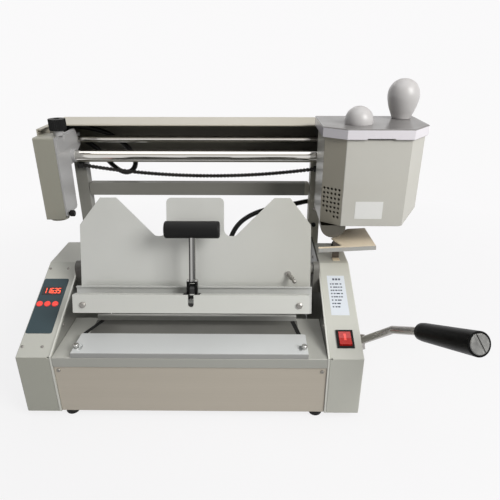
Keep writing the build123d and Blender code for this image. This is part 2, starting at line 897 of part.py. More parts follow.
def make_nip_shaft():
    end = hub_x[1]
    shaft = rod_x(shaft_radius, (-plate_outer - 1, end), shaft_y, shaft_z)
    rest = math.radians(lever_rest_angle)
    pin_y = shaft_y - nip_crank * math.sin(rest)
    pin_z = shaft_z - nip_crank * math.cos(rest)
    for side in (-1, 1):
        x = sorted((side * (yoke_x + 3), side * (yoke_x + 8)))
        web = side_profile(
            [
                (shaft_y - 5.5, shaft_z + 3),
                (shaft_y + 5.5, shaft_z - 5),
                (pin_y + 5, pin_z - 3),
                (pin_y - 5, pin_z + 3),
            ],
            x,
        )
        web += rod_x(7.8, x, shaft_y, shaft_z) + rod_x(6, x, pin_y, pin_z)
        pin = rod_x(3, sorted((side * (yoke_x - 4), side * (yoke_x + 8))), pin_y, pin_z)
        shaft += web + pin
    return shaft


hub_x = (262.5, 272.0)
hub_radius = 12.5
bend_point = (303.5, 25.5, 150.1)
grip_start = (327.4, -17.5, 176.2)
grip_end = (352.0, -125.7, 232.0)
bar_radius = 6.0
lever_groove = (0.42, 0.86)


def bar_between(a, b, radius):
    run = Vector(b) - Vector(a)
    place = Plane(origin=a, z_dir=run).location
    return place * Pos(0, 0, run.length / 2) * Cylinder(radius, run.length)


def make_lever_arm():
    """A bent bar on a clamped hub, with a long groove milled in the side that faces the operator."""
    hub = rod_x(hub_radius, hub_x, shaft_y, shaft_z)
    root = (267.8, shaft_y - 4, shaft_z + 5)
    into_grip = Vector(grip_start) + (Vector(grip_end) - Vector(grip_start)).normalized() * 20
    arm = bar_between(root, bend_point, bar_radius) + Pos(*bend_point) * Sphere(bar_radius)
    arm += bar_between(bend_point, grip_start, bar_radius) + Pos(*grip_start) * Sphere(bar_radius)
    arm += bar_between(grip_start, tuple(into_grip), bar_radius)
    for turn in (62, 242):
        y = shaft_y + 9.3 * math.cos(math.radians(turn))
        z = shaft_z + 9.3 * math.sin(math.radians(turn))
        arm += rod_x(2.6, (hub_x[1] - 1, hub_x[1] + 2.5), y, z)
    run = Vector(bend_point) - Vector(root)
    towards_operator = Vector(-0.26, -0.80, 0.54).normalized() * (bar_radius - 0.6)
    groove = [Vector(root) + run * share + towards_operator for share in lever_groove]
    arm -= bar_between(*[tuple(end) for end in groove], 1.8)
    return hub + arm - rod_x(shaft_radius, (hub_x[0] - 1, hub_x[1] + 4), shaft_y, shaft_z)


def grip_place():
    return Plane(origin=grip_start, z_dir=Vector(grip_end) - Vector(grip_start)).location


def make_lever_grip():
    length = (Vector(grip_end) - Vector(grip_start)).length
    half_profile = [(0, 0), (9.5, 0), (12.2, 4), (12.9, 12), (15.1, length), (0, length)]
    face = make_face(Polyline(*[(x, 0, z) for x, z in half_profile], close=True))
    grip = revolve(face, axis=Axis.Z, revolution_arc=360)
    grip -= Pos(0, 0, 10) * Cylinder(bar_radius, 20.4)
    grip -= Pos(0, 0, length - 2) * Cylinder(12.6, 4.02)
    return grip_place() * grip


def make_grip_cap():
    length = (Vector(grip_end) - Vector(grip_start)).length
    cap = Pos(0, 0, length - 1.2) * Cylinder(12.6, 5.6)
    cap = chamfer(cap.edges().group_by(Axis.Z)[-1], 0.8)
    cap -= Pos(0, 0, length + 1.6) * Rot(0, 0, 28) * Box(30, 4.2, 2.6)
    return grip_place() * cap


def make_pivot_bushes():
    """The clamp's bearing blocks on the side plates, and the nip shaft's flanged bushes."""
    bushes = []
    for side in (-1, 1):
        x = sorted((side * bearing_x[0], side * bearing_x[1]))
        block = rod_x(bearing_radius, x, pivot_y, pivot_z)
        block += span(x, (pivot_y - bearing_radius, pivot_y + bearing_radius), (pivot_z - 40, pivot_z))
        bushes.append(block - rod_x(trunnion_radius + running, x, pivot_y, pivot_z))
        flange = sorted((side * (plate_inner - 1.5), side * plate_inner))
        bush = rod_x(bush_radius, sorted((side * plate_inner, side * plate_outer)), shaft_y, shaft_z)
        bush += rod_x(bush_radius + 1.8, flange, shaft_y, shaft_z)
        bore = sorted((side * (plate_inner - 5), side * (plate_outer + 5)))
        bushes.append(bush - rod_x(shaft_radius + running, bore, shaft_y, shaft_z))
    return bushes


# Glue head


def head_outline(inset, back):
    i = inset
    return [
        (head_left + i, back),
        (head_left + i, head_front + 24 + i * 0.4),
        (head_left + 34 + i * 0.3, head_front + i),
        (head_right - 33 - i * 0.3, head_front + i),
        (head_right - i, head_front + 40 + i * 0.4),
        (head_right - i, back),
    ]


hinge_x = (226.0, 320.0)
hinge_length = 24.0
lid_sheet = 2.2
latch_x = (265.0, 308.0)


def make_head_lid():
    rim_low = head_top - rim_height
    lid = plan_profile(head_outline(0, head_back), (rim_low, head_top))
    lid = fillet(lid.faces().sort_by(Axis.Z)[-1].edges(), 1.6)
    lid -= plan_profile(head_outline(2.0, head_back - 2), (rim_low - 1, head_top - lid_sheet))
    lid -= span(latch_x, (head_front - 1, head_front + 6), (rim_low - 1, rim_low + 1.4))
    for x in hinge_x:
        knuckle = rod_x(4, (x + 0.5, x + hinge_length), hinge_y, hinge_z)
        knuckle += span((x + 0.5, x + hinge_length), (head_back - 0.5, hinge_y), (hinge_z, hinge_z + 4))
        lid += knuckle - rod_x(2 + running, (x, x + hinge_length + 1), hinge_y, hinge_z)
    return lid


def make_head_shell():
    """The folded casing: open at the top and bottom, cut up at its lower right corner."""
    top = head_top - lid_sheet - 0.1
    shell = plan_profile(head_outline(shell_inset, shell_back), (shell_low, top))
    shell -= plan_profile(head_outline(shell_inset + sheet, shell_back - sheet), (shell_low - 1, top + 1))
    window = (head_left + 10, head_right - 10)
    shell -= span(window, (shell_back - 4, shell_back + 2), (shell_low - 1, 320))
    corner = [(326, shell_low - 1), (334, shell_low + 1), (372, shell_low + 24), (372, shell_low - 1)]
    shell -= front_profile(corner, (head_front - 2, shell_back + 2))
    rim_low = head_top - rim_height
    finger_room = (latch_x[0] + 2, latch_x[1] - 2)
    shell -= span(finger_room, (head_front + 2, head_front + 8), (rim_low - 1.2, rim_low + 5.5))
    return shell - vent_holes()


def vent_holes():
    """Rows of holes down the left chamfer, fewer in the lower rows."""
    left, front = head_outline(shell_inset, shell_back)[1:3]
    run = Vector(front[0] - left[0], front[1] - left[1], 0)
    normal = Vector(run.Y, -run.X, 0).normalized()
    holes = []
    for row in range(7):
        for column in range((0, 0, 0, 0, 0, 1, 3)[row], 5):
            centre = Vector(left[0], left[1], 327.5 - 7.6 * row) + run * (0.11 + 0.175 * column)
            face = Plane(origin=centre - normal * 5, z_dir=normal) * Circle(2.2)
            holes.append(extrude(face, amount=10, dir=normal))
    return holes


def make_ball_knob():
    ball = Pos(260, 192, head_top + 5) * Sphere(22.3)
    return ball & span((220, 300), (150, 240), (head_top, head_top + 60))


def make_push_knob():
    with BuildPart() as knob:
        with BuildSketch(Plane.XZ):
            with BuildLine():
                Spline((15.5, 2), (22.5, 18), (25.5, 38), (17, 57), (0, 63.5), tangents=((0.3, 1), (-1, 0)))
                Line((0, 63.5), (0, 0))
                Line((0, 0), (14.5, 0))
                Line((14.5, 0), (15.5, 2))
            make_face()
        revolve(axis=Axis.Z)
    return Pos(341, 246, head_top) * knob.part


def make_head_carriage():
    """The cast slider behind the casing, bored for both rods, with two hinge arms for the lid."""
    corners = [
        (shell_back, slider_low),
        (slider_lip, slider_low),
        (slider_lip, slider_low + 6),
        (284, slider_low + 6),
        (320, 364),
        (324, 370),
        (324, 384),
        (306, 388),
        (281, 373),
        (266, 373),
        (266, 394),
        (shell_back, 394),
    ]
    slider = side_profile(corners, (head_left + 16, head_right - 16))
    for x in hinge_x:
        arm = span((x - 8, x), (262, slider_lip), (390, 407))
        arm += span((x - 8, x), (266, slider_lip), (373, 392))
        arm += span((x - 8, x), (head_back + 0.6, hinge_y), (405, hinge_z))
        arm += rod_x(3, (x - 8, x), hinge_y, hinge_z)
        slider += arm + rod_x(2, (x - 4, x + hinge_length + 3), hinge_y, hinge_z)
    x = (head_left, head_right)
    slider -= rod_x(main_rod_radius + running, x, main_rod_y, main_rod_z)
    return slider - rod_x(rear_rod_radius + running, x, rear_rod_y, rear_rod_z)


tank_x = (212.0, 300.0)
tank_y = (178.0, 247.5)
tank_z = (258.0, 320.0)
tank_wall = 3.0


def make_glue_tank():
    """The pot round the roller, hung on two straps from the casing's back wall."""
    x, y, z = tank_x, tank_y, tank_z
    wall = tank_wall
    tank = span(x, y, z)
    tank -= span((x[0] + wall, x[1] - wall), (y[0] + wall, y[1] - wall), (z[0] + wall, z[1] + 1))
    reach = math.sqrt(roller_radius ** 2 - (roller_z - z[0] - wall) ** 2) + 0.8
    half = roller_width / 2 + 0.8
    mouth_x = (roller_x - reach, roller_x + reach)
    tank -= span(mouth_x, (roller_y - half, roller_y + half), (z[0] - 1, z[0] + wall + 1))
    tank -= rod_y(4 + running, roller_x, (y[0] - 1, y[1] + 1), roller_z)
    for left in (x[0] + 4, x[1] - 16):
        tank += span((left, left + 12), (y[1], shell_back - sheet), (z[0] + 20, 352))
    guard = rod_y(21, 225, (150, y[0]), 268) & span((205, 245), (149, 179), (247, 268))
    return tank + (guard - rod_y(19.5, 225, (151.5, y[0] - 1.5), 268))


sprocket_y = (276.6, 279.4)
sprocket_teeth = 32


def make_glue_roller():
    width = (roller_y - roller_width / 2, roller_y + roller_width / 2)
    drum = rod_y(roller_radius, roller_x, width, roller_z)
    drum += rod_y(4, roller_x, (tank_y[0] - 4, sprocket_y[1] + 1), roller_z)
    teeth = sprocket_teeth
    pitch_radius = chain_pitch / 2 / math.sin(math.pi / teeth)
    root, tip = pitch_radius - 1.6, pitch_radius + 1.5
    points = []
    for k in range(teeth):
        for share, radius in ((0.0, root), (0.3, root), (0.5, tip), (0.8, tip)):
            angle = 2 * math.pi * (k + share) / teeth
            points.append((roller_x + radius * math.cos(angle), roller_z + radius * math.sin(angle)))
    return drum + front_profile(points, sprocket_y)


# Milling head


def make_mill_carriage():
    """The slider and right-hand cheek of the milling head in one casting."""
    t = 3.0
    cheek = [
        (mill_front + 1, mill_low + 6),
        (mill_front + 1, mill_high),
        (292, mill_high),
        (299, 392),
        (297, 362),
        (284, slider_low + 6),
        (slider_lip, slider_low + 6),
        (slider_lip, slider_low),
        (254, slider_low),
        (252, mill_low + 9),
        (248, mill_low + 6),
    ]
    body = side_profile(cheek, (mill_right - t, mill_right))
    block = side_profile(
        [
            (254, slider_low),
            (slider_lip, slider_low),
            (slider_lip, slider_low + 6),
            (284, slider_low + 6),
            (320, 364),
            (324, 370),
            (324, 386),
            (300, 386),
            (280, 372),
            (254, 372),
        ],
        (mill_left + 1, mill_right - t),
    )
    body += block
    body += span((mill_left + 2, mill_right - t), (244, 254), (300, 372))
    doubler = [
        (mill_front + 3, 373),
        (mill_front + 3, mill_high - 3),
        (232, mill_high - 3),
        (236, 385),
        (240, mill_high - 3),
        (290, mill_high - 3),
        (296, 390),
        (295, 373),
    ]
    body += side_profile(doubler, (mill_right, mill_right + 1.2))
    x = (mill_left - 8, mill_right + 8)
    body += rod_x(main_rod_radius + 2.4, (mill_right, mill_right + 6), main_rod_y, main_rod_z)
    body -= rod_x(main_rod_radius + running, x, main_rod_y, main_rod_z)
    body -= rod_x(rear_rod_radius + running, x, rear_rod_y, rear_rod_z)
    collar = rod_z(8.5, knob_x, knob_y, (mill_high, mill_high + collar_height))
    return body + (collar - rod_z(3 + running, knob_x, knob_y, (mill_high + 0.5, mill_high + 10)))


def make_mill_cover():
    """A folded front and left casing with a round guard that bulges round the cutter."""
    right = mill_right - 3.2
    cover = span((mill_left, right), (mill_front, 243.8), (mill_low, mill_high))
    cover = fillet(cover.edges().filter_by(Axis.X).group_by(Axis.Z)[-1].sort_by(Axis.Y)[0], 3)
    guard = rod_z(15.5, mill_x, mill_front + 17, (mill_low - 3, mill_low + 6))
    cover += guard & span((mill_left, right), (mill_front, 243.8), (mill_low - 3, mill_low + 1))
    inside_z = (mill_low + 2, mill_high - sheet)
    cover -= span((mill_left + sheet, right + 1), (mill_front + sheet, 245), inside_z)
    return cover - rod_z(14, mill_x, mill_front + 17, (mill_low - 6, mill_low + 6))


mill_x = (mill_left + mill_right - 3.2) / 2
knob_x, knob_y = -231.0, 225.0
collar_height = 8.7
knob_radius, knob_height = 14.0, 18.0
knob_flutes = 30


def make_mill_motor():
    """The spindle motor that the depth screw raises."""
    motor = rod_z(15, mill_x, mill_front + 17.2, (300, 366))
    motor += rod_z(9, mill_x, mill_front + 17.2, (366, 372))
    motor += rod_z(4, mill_x, mill_front + 17.2, (268, 300))
    bracket = span((mill_x - 8, mill_x + 8), (mill_front + 30, 243.6), (330, 350))
    return motor + bracket


def make_cutter():
    """The face cutter: a disc with slanted tooth blocks round its edge, bored for the spindle."""
    x, y = mill_x, mill_front + 17.2
    disc = rod_z(12.0, x, y, (261.5, 265.5))
    for k in range(8):
        tooth = Pos(x, y, 262) * Rot(0, 0, 45 * k) * Pos(10.4, 0, -0.4) * Rot(0, 18, 0) * Box(2.6, 3, 4.6)
        disc += tooth
    hub = rod_z(6.5, x, y, (265.5, 272))
    return (disc + hub) - rod_z(4 + running, x, y, (255, 280))


def make_depth_knob():
    """A fluted dial with a socket in its top, on a stem that turns in the casing's collar."""
    low = mill_high + collar_height + 0.3
    high = low + knob_height
    rim = []
    for k in range(2 * knob_flutes):
        turn = math.pi * k / knob_flutes
        radius = knob_radius if k % 2 else knob_radius - 0.7
        rim.append((knob_x + radius * math.cos(turn), knob_y + radius * math.sin(turn)))
    knob = plan_profile(rim, (low, high))
    knob -= rod_z(5, knob_x, knob_y, (high - 2, high + 1))
    return knob + rod_z(3, knob_x, knob_y, (mill_high + 1, low))


def make_lock_knob():
    y, z = 208.0, 267.0
    knob = rod_x(5.5, (mill_right + 3.3, mill_right + 11), y, z)
    knob = fillet(knob.edges().group_by(Axis.X)[-1], 2)
    return knob + rod_x(2.5, (mill_right + 0.3, mill_right + 3.3), y, z)


def keep(name, shape):
    nodes[name] = shape if isinstance(shape, list) else [shape]


def build():
    keep("base_pan", make_base_pan())
    keep("rubber_feet", make_feet())
    keep("front_panel", make_front_panel())
    keep("table_top", make_table())
    keep("rear_nip_bar", make_rear_nip_bar())
    keep("right_side_plate", make_side_plate())
    keep("left_side_plate", mirrored(make_side_plate()))
    keep("left_side_cover", make_left_cover())
    keep("right_side_cover", make_right_cover())
    keep("control_panel", make_control_panel())
    keep("display_window", make_display())
    keep("control_board", make_control_board())
    keep("switch_bezel", make_switch_bezel())
    keep("power_inlet", make_power_inlet())
    keep("tower_posts", make_posts())
    keep("cross_bar", make_cross_bar())
    keep("rail_channel", make_channel())
    keep("rail_end_plates", make_end_plates())
    keep("main_guide_rod", make_guide_rod(main_rod_radius, main_rod_y, main_rod_z))
    keep("rear_guide_rod", make_guide_rod(rear_rod_radius, rear_rod_y, rear_rod_z))
    keep("drive_chain", make_chain())
    keep("chain_anchors", make_chain_anchors())
    keep("supply_conduit", conduit("supply_conduit", supply_route, conduit_radius))
    keep("channel_conduit", conduit("channel_conduit", channel_route, conduit_radius))
    keep("conduit_glands", make_glands())
    keep("drip_tray", make_drip_tray())
    keep("pivot_bushes", make_pivot_bushes())
    keep("nip_plate", make_nip_plate())
    keep("nip_pins", make_nip_pins())
    keep("nip_carriage", make_nip_carriage())
    keep("nip_shaft", make_nip_shaft())
    keep("lever_arm", make_lever_arm())
    keep("lever_grip", make_lever_grip())
    keep("grip_cap", make_grip_cap())
    keep("clamp_back_plate", make_clamp_back_plate())
    keep("clamp_side_arms", make_side_arms())
    keep("clamp_guide_rods", make_guide_rods())
    keep("clamp_front_bar", make_front_bar())
    keep("clamp_studs", make_bar_screws() + [make_stop_pin()])
    keep("lever_clevis", make_lever_clevis())
    keep("clamp_jaw", make_jaw())
    keep("clamp_lever", make_clamp_lever())
    keep("clamp_lever_grip", make_lever_bar_grip())
    keep("head_carriage", make_head_carriage())
    keep("head_shell", make_head_shell())
    keep("glue_tank", make_glue_tank())
    keep("glue_roller", make_glue_roller())
    keep("head_lid", make_head_lid())
    keep("ball_knob", make_ball_knob())
    keep("push_knob", make_push_knob())
    keep("mill_carriage", make_mill_carriage())
    keep("mill_cover", make_mill_cover())
    keep("mill_motor", make_mill_motor())
    keep("mill_cutter", make_cutter())
    keep("depth_knob", make_depth_knob())
    keep("lock_knob", make_lock_knob())
    for k, x in enumerate(button_x):
        keep(f"button_{k + 1}", make_button(x))
    keep("power_rocker", make_rocker())


def machine_origin():
    """The middle of the footprint at floor level."""
    boxes = [part.bounding_box() for parts in nodes.values() for part in parts]
    low_x, high_x = min(b.min.X for b in boxes), max(b.max.X for b in boxes)
    low_y, high_y = min(b.min.Y for b in boxes), max(b.max.Y for b in boxes)
    return Vector((low_x + high_x) / 2, (low_y + high_y) / 2, min(b.min.Z for b in boxes))


def write():
    os.makedirs("parts", exist_ok=True)
    origin = machine_origin()
    print("origin in drawing axes", [round(v, 3) for v in tuple(origin)])
    for name, parts in nodes.items():
        moved = [Pos(-origin.X, -origin.Y, -origin.Z) * part for part in parts]
        shape = moved[0] if len(moved) == 1 else Compound(children=moved)
        export_step(shape, os.path.join("parts", name + ".step"))


build()
write()
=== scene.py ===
import bpy
import bmesh
import math
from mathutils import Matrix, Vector


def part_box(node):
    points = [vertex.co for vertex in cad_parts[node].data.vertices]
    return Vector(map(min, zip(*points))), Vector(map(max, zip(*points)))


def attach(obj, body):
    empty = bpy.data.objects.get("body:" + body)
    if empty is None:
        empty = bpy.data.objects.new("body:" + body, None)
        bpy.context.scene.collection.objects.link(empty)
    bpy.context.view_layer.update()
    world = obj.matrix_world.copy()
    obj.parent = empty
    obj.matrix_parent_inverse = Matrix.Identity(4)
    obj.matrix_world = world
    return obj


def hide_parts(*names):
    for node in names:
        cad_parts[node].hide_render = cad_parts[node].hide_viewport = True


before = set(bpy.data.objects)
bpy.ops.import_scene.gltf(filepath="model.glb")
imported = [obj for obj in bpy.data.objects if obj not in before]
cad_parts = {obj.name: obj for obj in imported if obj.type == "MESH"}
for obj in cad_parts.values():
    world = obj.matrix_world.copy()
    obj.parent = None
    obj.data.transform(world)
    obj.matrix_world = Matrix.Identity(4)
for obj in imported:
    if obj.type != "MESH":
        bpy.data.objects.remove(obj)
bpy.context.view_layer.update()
print("frame loaded with", len(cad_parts), "nodes")


def mm(value):
    return value / 1000


# Places are written in millimetres from the middle of the cabinet's front edge,
# as the machine is dimensioned, and turned into the frame's metres here.
cabinet = {"halfWidth": 260.0, "deckFront": 0.0}
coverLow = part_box("left_side_cover")[0]
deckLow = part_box("table_top")[0]
shiftX = coverLow.x + mm(cabinet["halfWidth"])
shiftY = deckLow.y - mm(cabinet["deckFront"])


def at(x, y, z):
    return Vector((mm(x) + shiftX, mm(y) + shiftY, mm(z)))


# Camera

view = {"place": (95.6, -578.8, 552.9), "pitch": 24.3, "yaw": -0.53, "focal": 477.9, "frameWide": 500.0,
        "sensorWide": 36.0, "near": 0.01}
cameraData = bpy.data.cameras.new("photoCamera")
cameraData.sensor_width = view["sensorWide"]
cameraData.lens = view["sensorWide"] * view["focal"] / view["frameWide"]
cameraData.clip_start = view["near"]
camera = bpy.data.objects.new("photoCamera", cameraData)
camera.location = at(*view["place"])
camera.rotation_euler = (math.radians(90 - view["pitch"]), 0, math.radians(-view["yaw"]))
bpy.context.scene.collection.objects.link(camera)
bpy.context.scene.camera = camera
bpy.context.scene.view_settings.view_transform = "Standard"
print("camera set")

# Shader writing

class Signal:
    def __init__(self, pen, socket):
        self.pen = pen
        self.socket = socket

    def __add__(self, other):
        return self.pen.maths("ADD", self, other)

    def __radd__(self, other):
        return self.pen.maths("ADD", other, self)

    def __sub__(self, other):
        return self.pen.maths("SUBTRACT", self, other)

    def __rsub__(self, other):
        return self.pen.maths("SUBTRACT", other, self)

    def __mul__(self, other):
        return self.pen.maths("MULTIPLY", self, other)

    def __rmul__(self, other):
        return self.pen.maths("MULTIPLY", other, self)

    def __gt__(self, other):
        return self.pen.maths("GREATER_THAN", self, other)

    def __lt__(self, other):
        return self.pen.maths("LESS_THAN", self, other)


class Pen:
    def __init__(self, name, tree=None):
        self.material = None
        if tree is None:
            self.material = bpy.data.materials.new(name)
            self.material.use_nodes = True
            tree = self.material.node_tree
        self.tree = tree
        self.tree.nodes.clear()

    def node(self, kind, settings=None, inputs=None):
        made = self.tree.nodes.new(kind)
        for key, value in (settings or {}).items():
            if key == "stops":
                self.setStops(made.color_ramp, value)
            else:
                setattr(made, key, value)
        for key, value in (inputs or {}).items():
            self.feed(made.inputs[key], value)
        return made

    def setStops(self, ramp, stops):
        while len(ramp.elements) < len(stops):
            ramp.elements.new(1.0)
        for element, (place, colour) in zip(ramp.elements, stops):
            element.position = place
            element.color = colour

    def feed(self, socket, value):
        if isinstance(value, Signal):
            self.tree.links.new(value.socket, socket)
        else:
            socket.default_value = value

    def out(self, kind, settings=None, inputs=None, output=0):
        return Signal(self, self.node(kind, settings, inputs).outputs[output])

    def maths(self, operation, a, b):
        return self.out("ShaderNodeMath", {"operation": operation}, {0: a, 1: b})

    def clamp(self, value):
        return self.out("ShaderNodeClamp", None, {"Value": value})

    def mixColour(self, factor, a, b):
        settings = {"data_type": "RGBA"}
        return self.out("ShaderNodeMix", settings, {0: factor, 6: a, 7: b}, 2)

    def place(self, scale=(1, 1, 1)):
        coordinate = self.out("ShaderNodeTexCoord", None, None, 3)
        return self.out("ShaderNodeMapping", None, {"Vector": coordinate, "Scale": scale})

    def noise(self, vector, scale, detail, rough):
        inputs = {"Vector": vector, "Scale": scale, "Detail": detail, "Roughness": rough}
        return self.out("ShaderNodeTexNoise", None, inputs)

    def rounded(self, radius):
        return self.out("ShaderNodeBevel", {"samples": 4}, {"Radius": radius})

    def ramp(self, factor, stops):
        return self.out("ShaderNodeValToRGB", {"stops": stops}, {"Fac": factor})

    def level(self, value, low, high, toLow=0.0, toHigh=1.0):
        inputs = {"Value": value, "From Min": low, "From Max": high, "To Min": toLow, "To Max": toHigh}
        return self.out("ShaderNodeMapRange", None, inputs)


def rgba(colour, shade=1.0):
    return (colour[0] * shade, colour[1] * shade, colour[2] * shade, 1.0)


def edgeMask(pen, radius, gain):
    # 1 on worn corners, 0 on flats, from how far the rounded normal leaves the true one
    soft = pen.rounded(radius)
    sharp = pen.out("ShaderNodeNewGeometry", None, None, 1)
    along = pen.out("ShaderNodeVectorMath", {"operation": "DOT_PRODUCT"}, {0: soft, 1: sharp}, 1)
    return pen.clamp((1 - along) * gain)


def zoneMask(pen, zone):
    # 1 between a zone's limits, which are millimetres along each direction from its starting place;
    # a zone with a fade rises from 0 to that amount between them
    spot = pen.out("ShaderNodeTexCoord", None, None, 3)
    start = tuple(at(*zone.get("from", (0, 0, 0))))
    away = pen.out("ShaderNodeVectorMath", {"operation": "SUBTRACT"}, {0: spot, 1: start})
    mask = None
    for direction, low, high in zone["limits"]:
        run = pen.out("ShaderNodeVectorMath", {"operation": "DOT_PRODUCT"}, {0: away, 1: direction}, 1)
        if "fade" in zone:
            share = pen.level(run, mm(low), mm(high), 0.0, zone["fade"])
        else:
            share = (run > mm(low)) * (run < mm(high))
        mask = share if mask is None else mask * share
    return mask


# The values that hold wherever a look gives none of its own
usual = {"mottle": 0.05, "mottleScale": 22.0, "roughSpread": 0.05, "grainDepth": 0.12, "grainLift": 0.6,
         "grainRough": 0.12, "grainHeight": 0.25, "metal": 0.0, "coat": 0.0, "coatRough": 0.1, "ior": 1.5,
         "edge": 0.0006, "bump": 0.25}
# The detail and roughness of each noise, and the span of its values that is used
noises = {"mottle": (4.0, 0.6), "grain": (2.0, 0.6), "bands": (2.0, 0.5), "peel": (2.0, 0.5),
          "dust": (5.0, 0.65), "chips": (3.0, 0.7)}
spans = {"mottle": (0.3, 0.7), "bands": (0.3, 0.7), "dust": (0.5, 0.72), "chips": (0.42, 0.58)}
grainScales = {"x": (9.0, 900.0, 900.0), "y": (900.0, 9.0, 900.0)}
chipScale = 260.0


def surface(name, ownLook):
    # One finish from a look: colours, gloss, grain, wear and rounded edges
    pen = Pen(name)
    look = {**usual, **ownLook}
    colour = look["colour"]
    spot = pen.place()
    mottle = pen.noise(spot, look["mottleScale"], *noises["mottle"])
    spread = look["mottle"]
    base = pen.mixColour(mottle, rgba(colour, 1 - spread), rgba(colour, 1 + spread))
    gloss = look["roughSpread"]
    roughness = pen.level(mottle, *spans["mottle"], look["rough"] - gloss, look["rough"] + gloss)
    height = 0.0
    grain = look.get("grain")
    if grain:
        line = pen.noise(pen.place(grainScales[grain]), 1.0, *noises["grain"])
        fine = look["grainDepth"]
        darker = rgba(colour, 1 - spread - fine)
        lighter = rgba(colour, 1 + spread + fine * look["grainLift"])
        base = pen.mixColour(line, darker, lighter)
        roughness = roughness + (line - 0.5) * look["grainRough"]
        height = line * look["grainHeight"]
    bands = look.get("bands")
    if bands:
        stripes = pen.noise(pen.place(bands["scale"]), 1.0, *noises["bands"])
        sweep = pen.level(stripes, *spans["bands"])
        base = pen.mixColour(sweep * bands["amount"], base, rgba(bands["colour"]))
        roughness = roughness + (sweep - 0.5) * bands.get("rough", 0.0)
    peel = look.get("peel")
    if peel:
        height = height + pen.noise(spot, peel["scale"], *noises["peel"]) * peel["height"]
    for zone in look.get("zones", ()):
        mask = zoneMask(pen, zone)
        base = pen.mixColour(mask, base, rgba(zone["colour"]))
        if "rough" in zone:
            roughness = roughness + mask * zone["rough"]
    dust = look.get("dust")
    if dust:
        patches = pen.noise(spot, dust["scale"], *noises["dust"])
        cover = pen.level(patches, *spans["dust"], 0.0, dust["amount"])
        base = pen.mixColour(pen.clamp(cover), base, rgba(dust["colour"]))
    wear = look.get("wear")
    if wear:
        edges = edgeMask(pen, wear["radius"], wear["gain"])
        flakes = pen.level(pen.noise(spot, chipScale, *noises["chips"]), *spans["chips"])
        mask = pen.clamp(edges * flakes * wear["amount"])
        base = pen.mixColour(mask, base, rgba(wear["colour"]))
    normal = pen.rounded(look["edge"])
    if grain or peel:
        bump = {"Height": height, "Normal": normal, "Strength": look["bump"], "Distance": mm(1)}
        normal = pen.out("ShaderNodeBump", None, bump)
    inputs = {"Base Color": base, "Roughness": pen.clamp(roughness), "Metallic": look["metal"],
              "Normal": normal, "Coat Weight": look["coat"], "Coat Roughness": look["coatRough"],
              "IOR": look["ior"]}
    if "glow" in look:
        inputs["Emission Color"] = rgba(look["glow"])
        inputs["Emission Strength"] = look["glowPower"]
    shader = pen.out("ShaderNodeBsdfPrincipled", None, inputs)
    pen.node("ShaderNodeOutputMaterial", None, {"Surface": shader})
    return pen.material


powder = {"scale": 1500.0, "height": 0.4}
across, deep, up = (1, 0, 0), (0, 1, 0), (0, 0, 1)
clampLean = math.radians(19.07)
leanUp = (0, math.sin(clampLean), math.cos(clampLean))
leanOut = (0, -math.cos(clampLean), math.sin(clampLean))
plateTilt = math.radians(24.29)
slopeNormal = (0, -math.sin(plateTilt), math.cos(plateTilt))
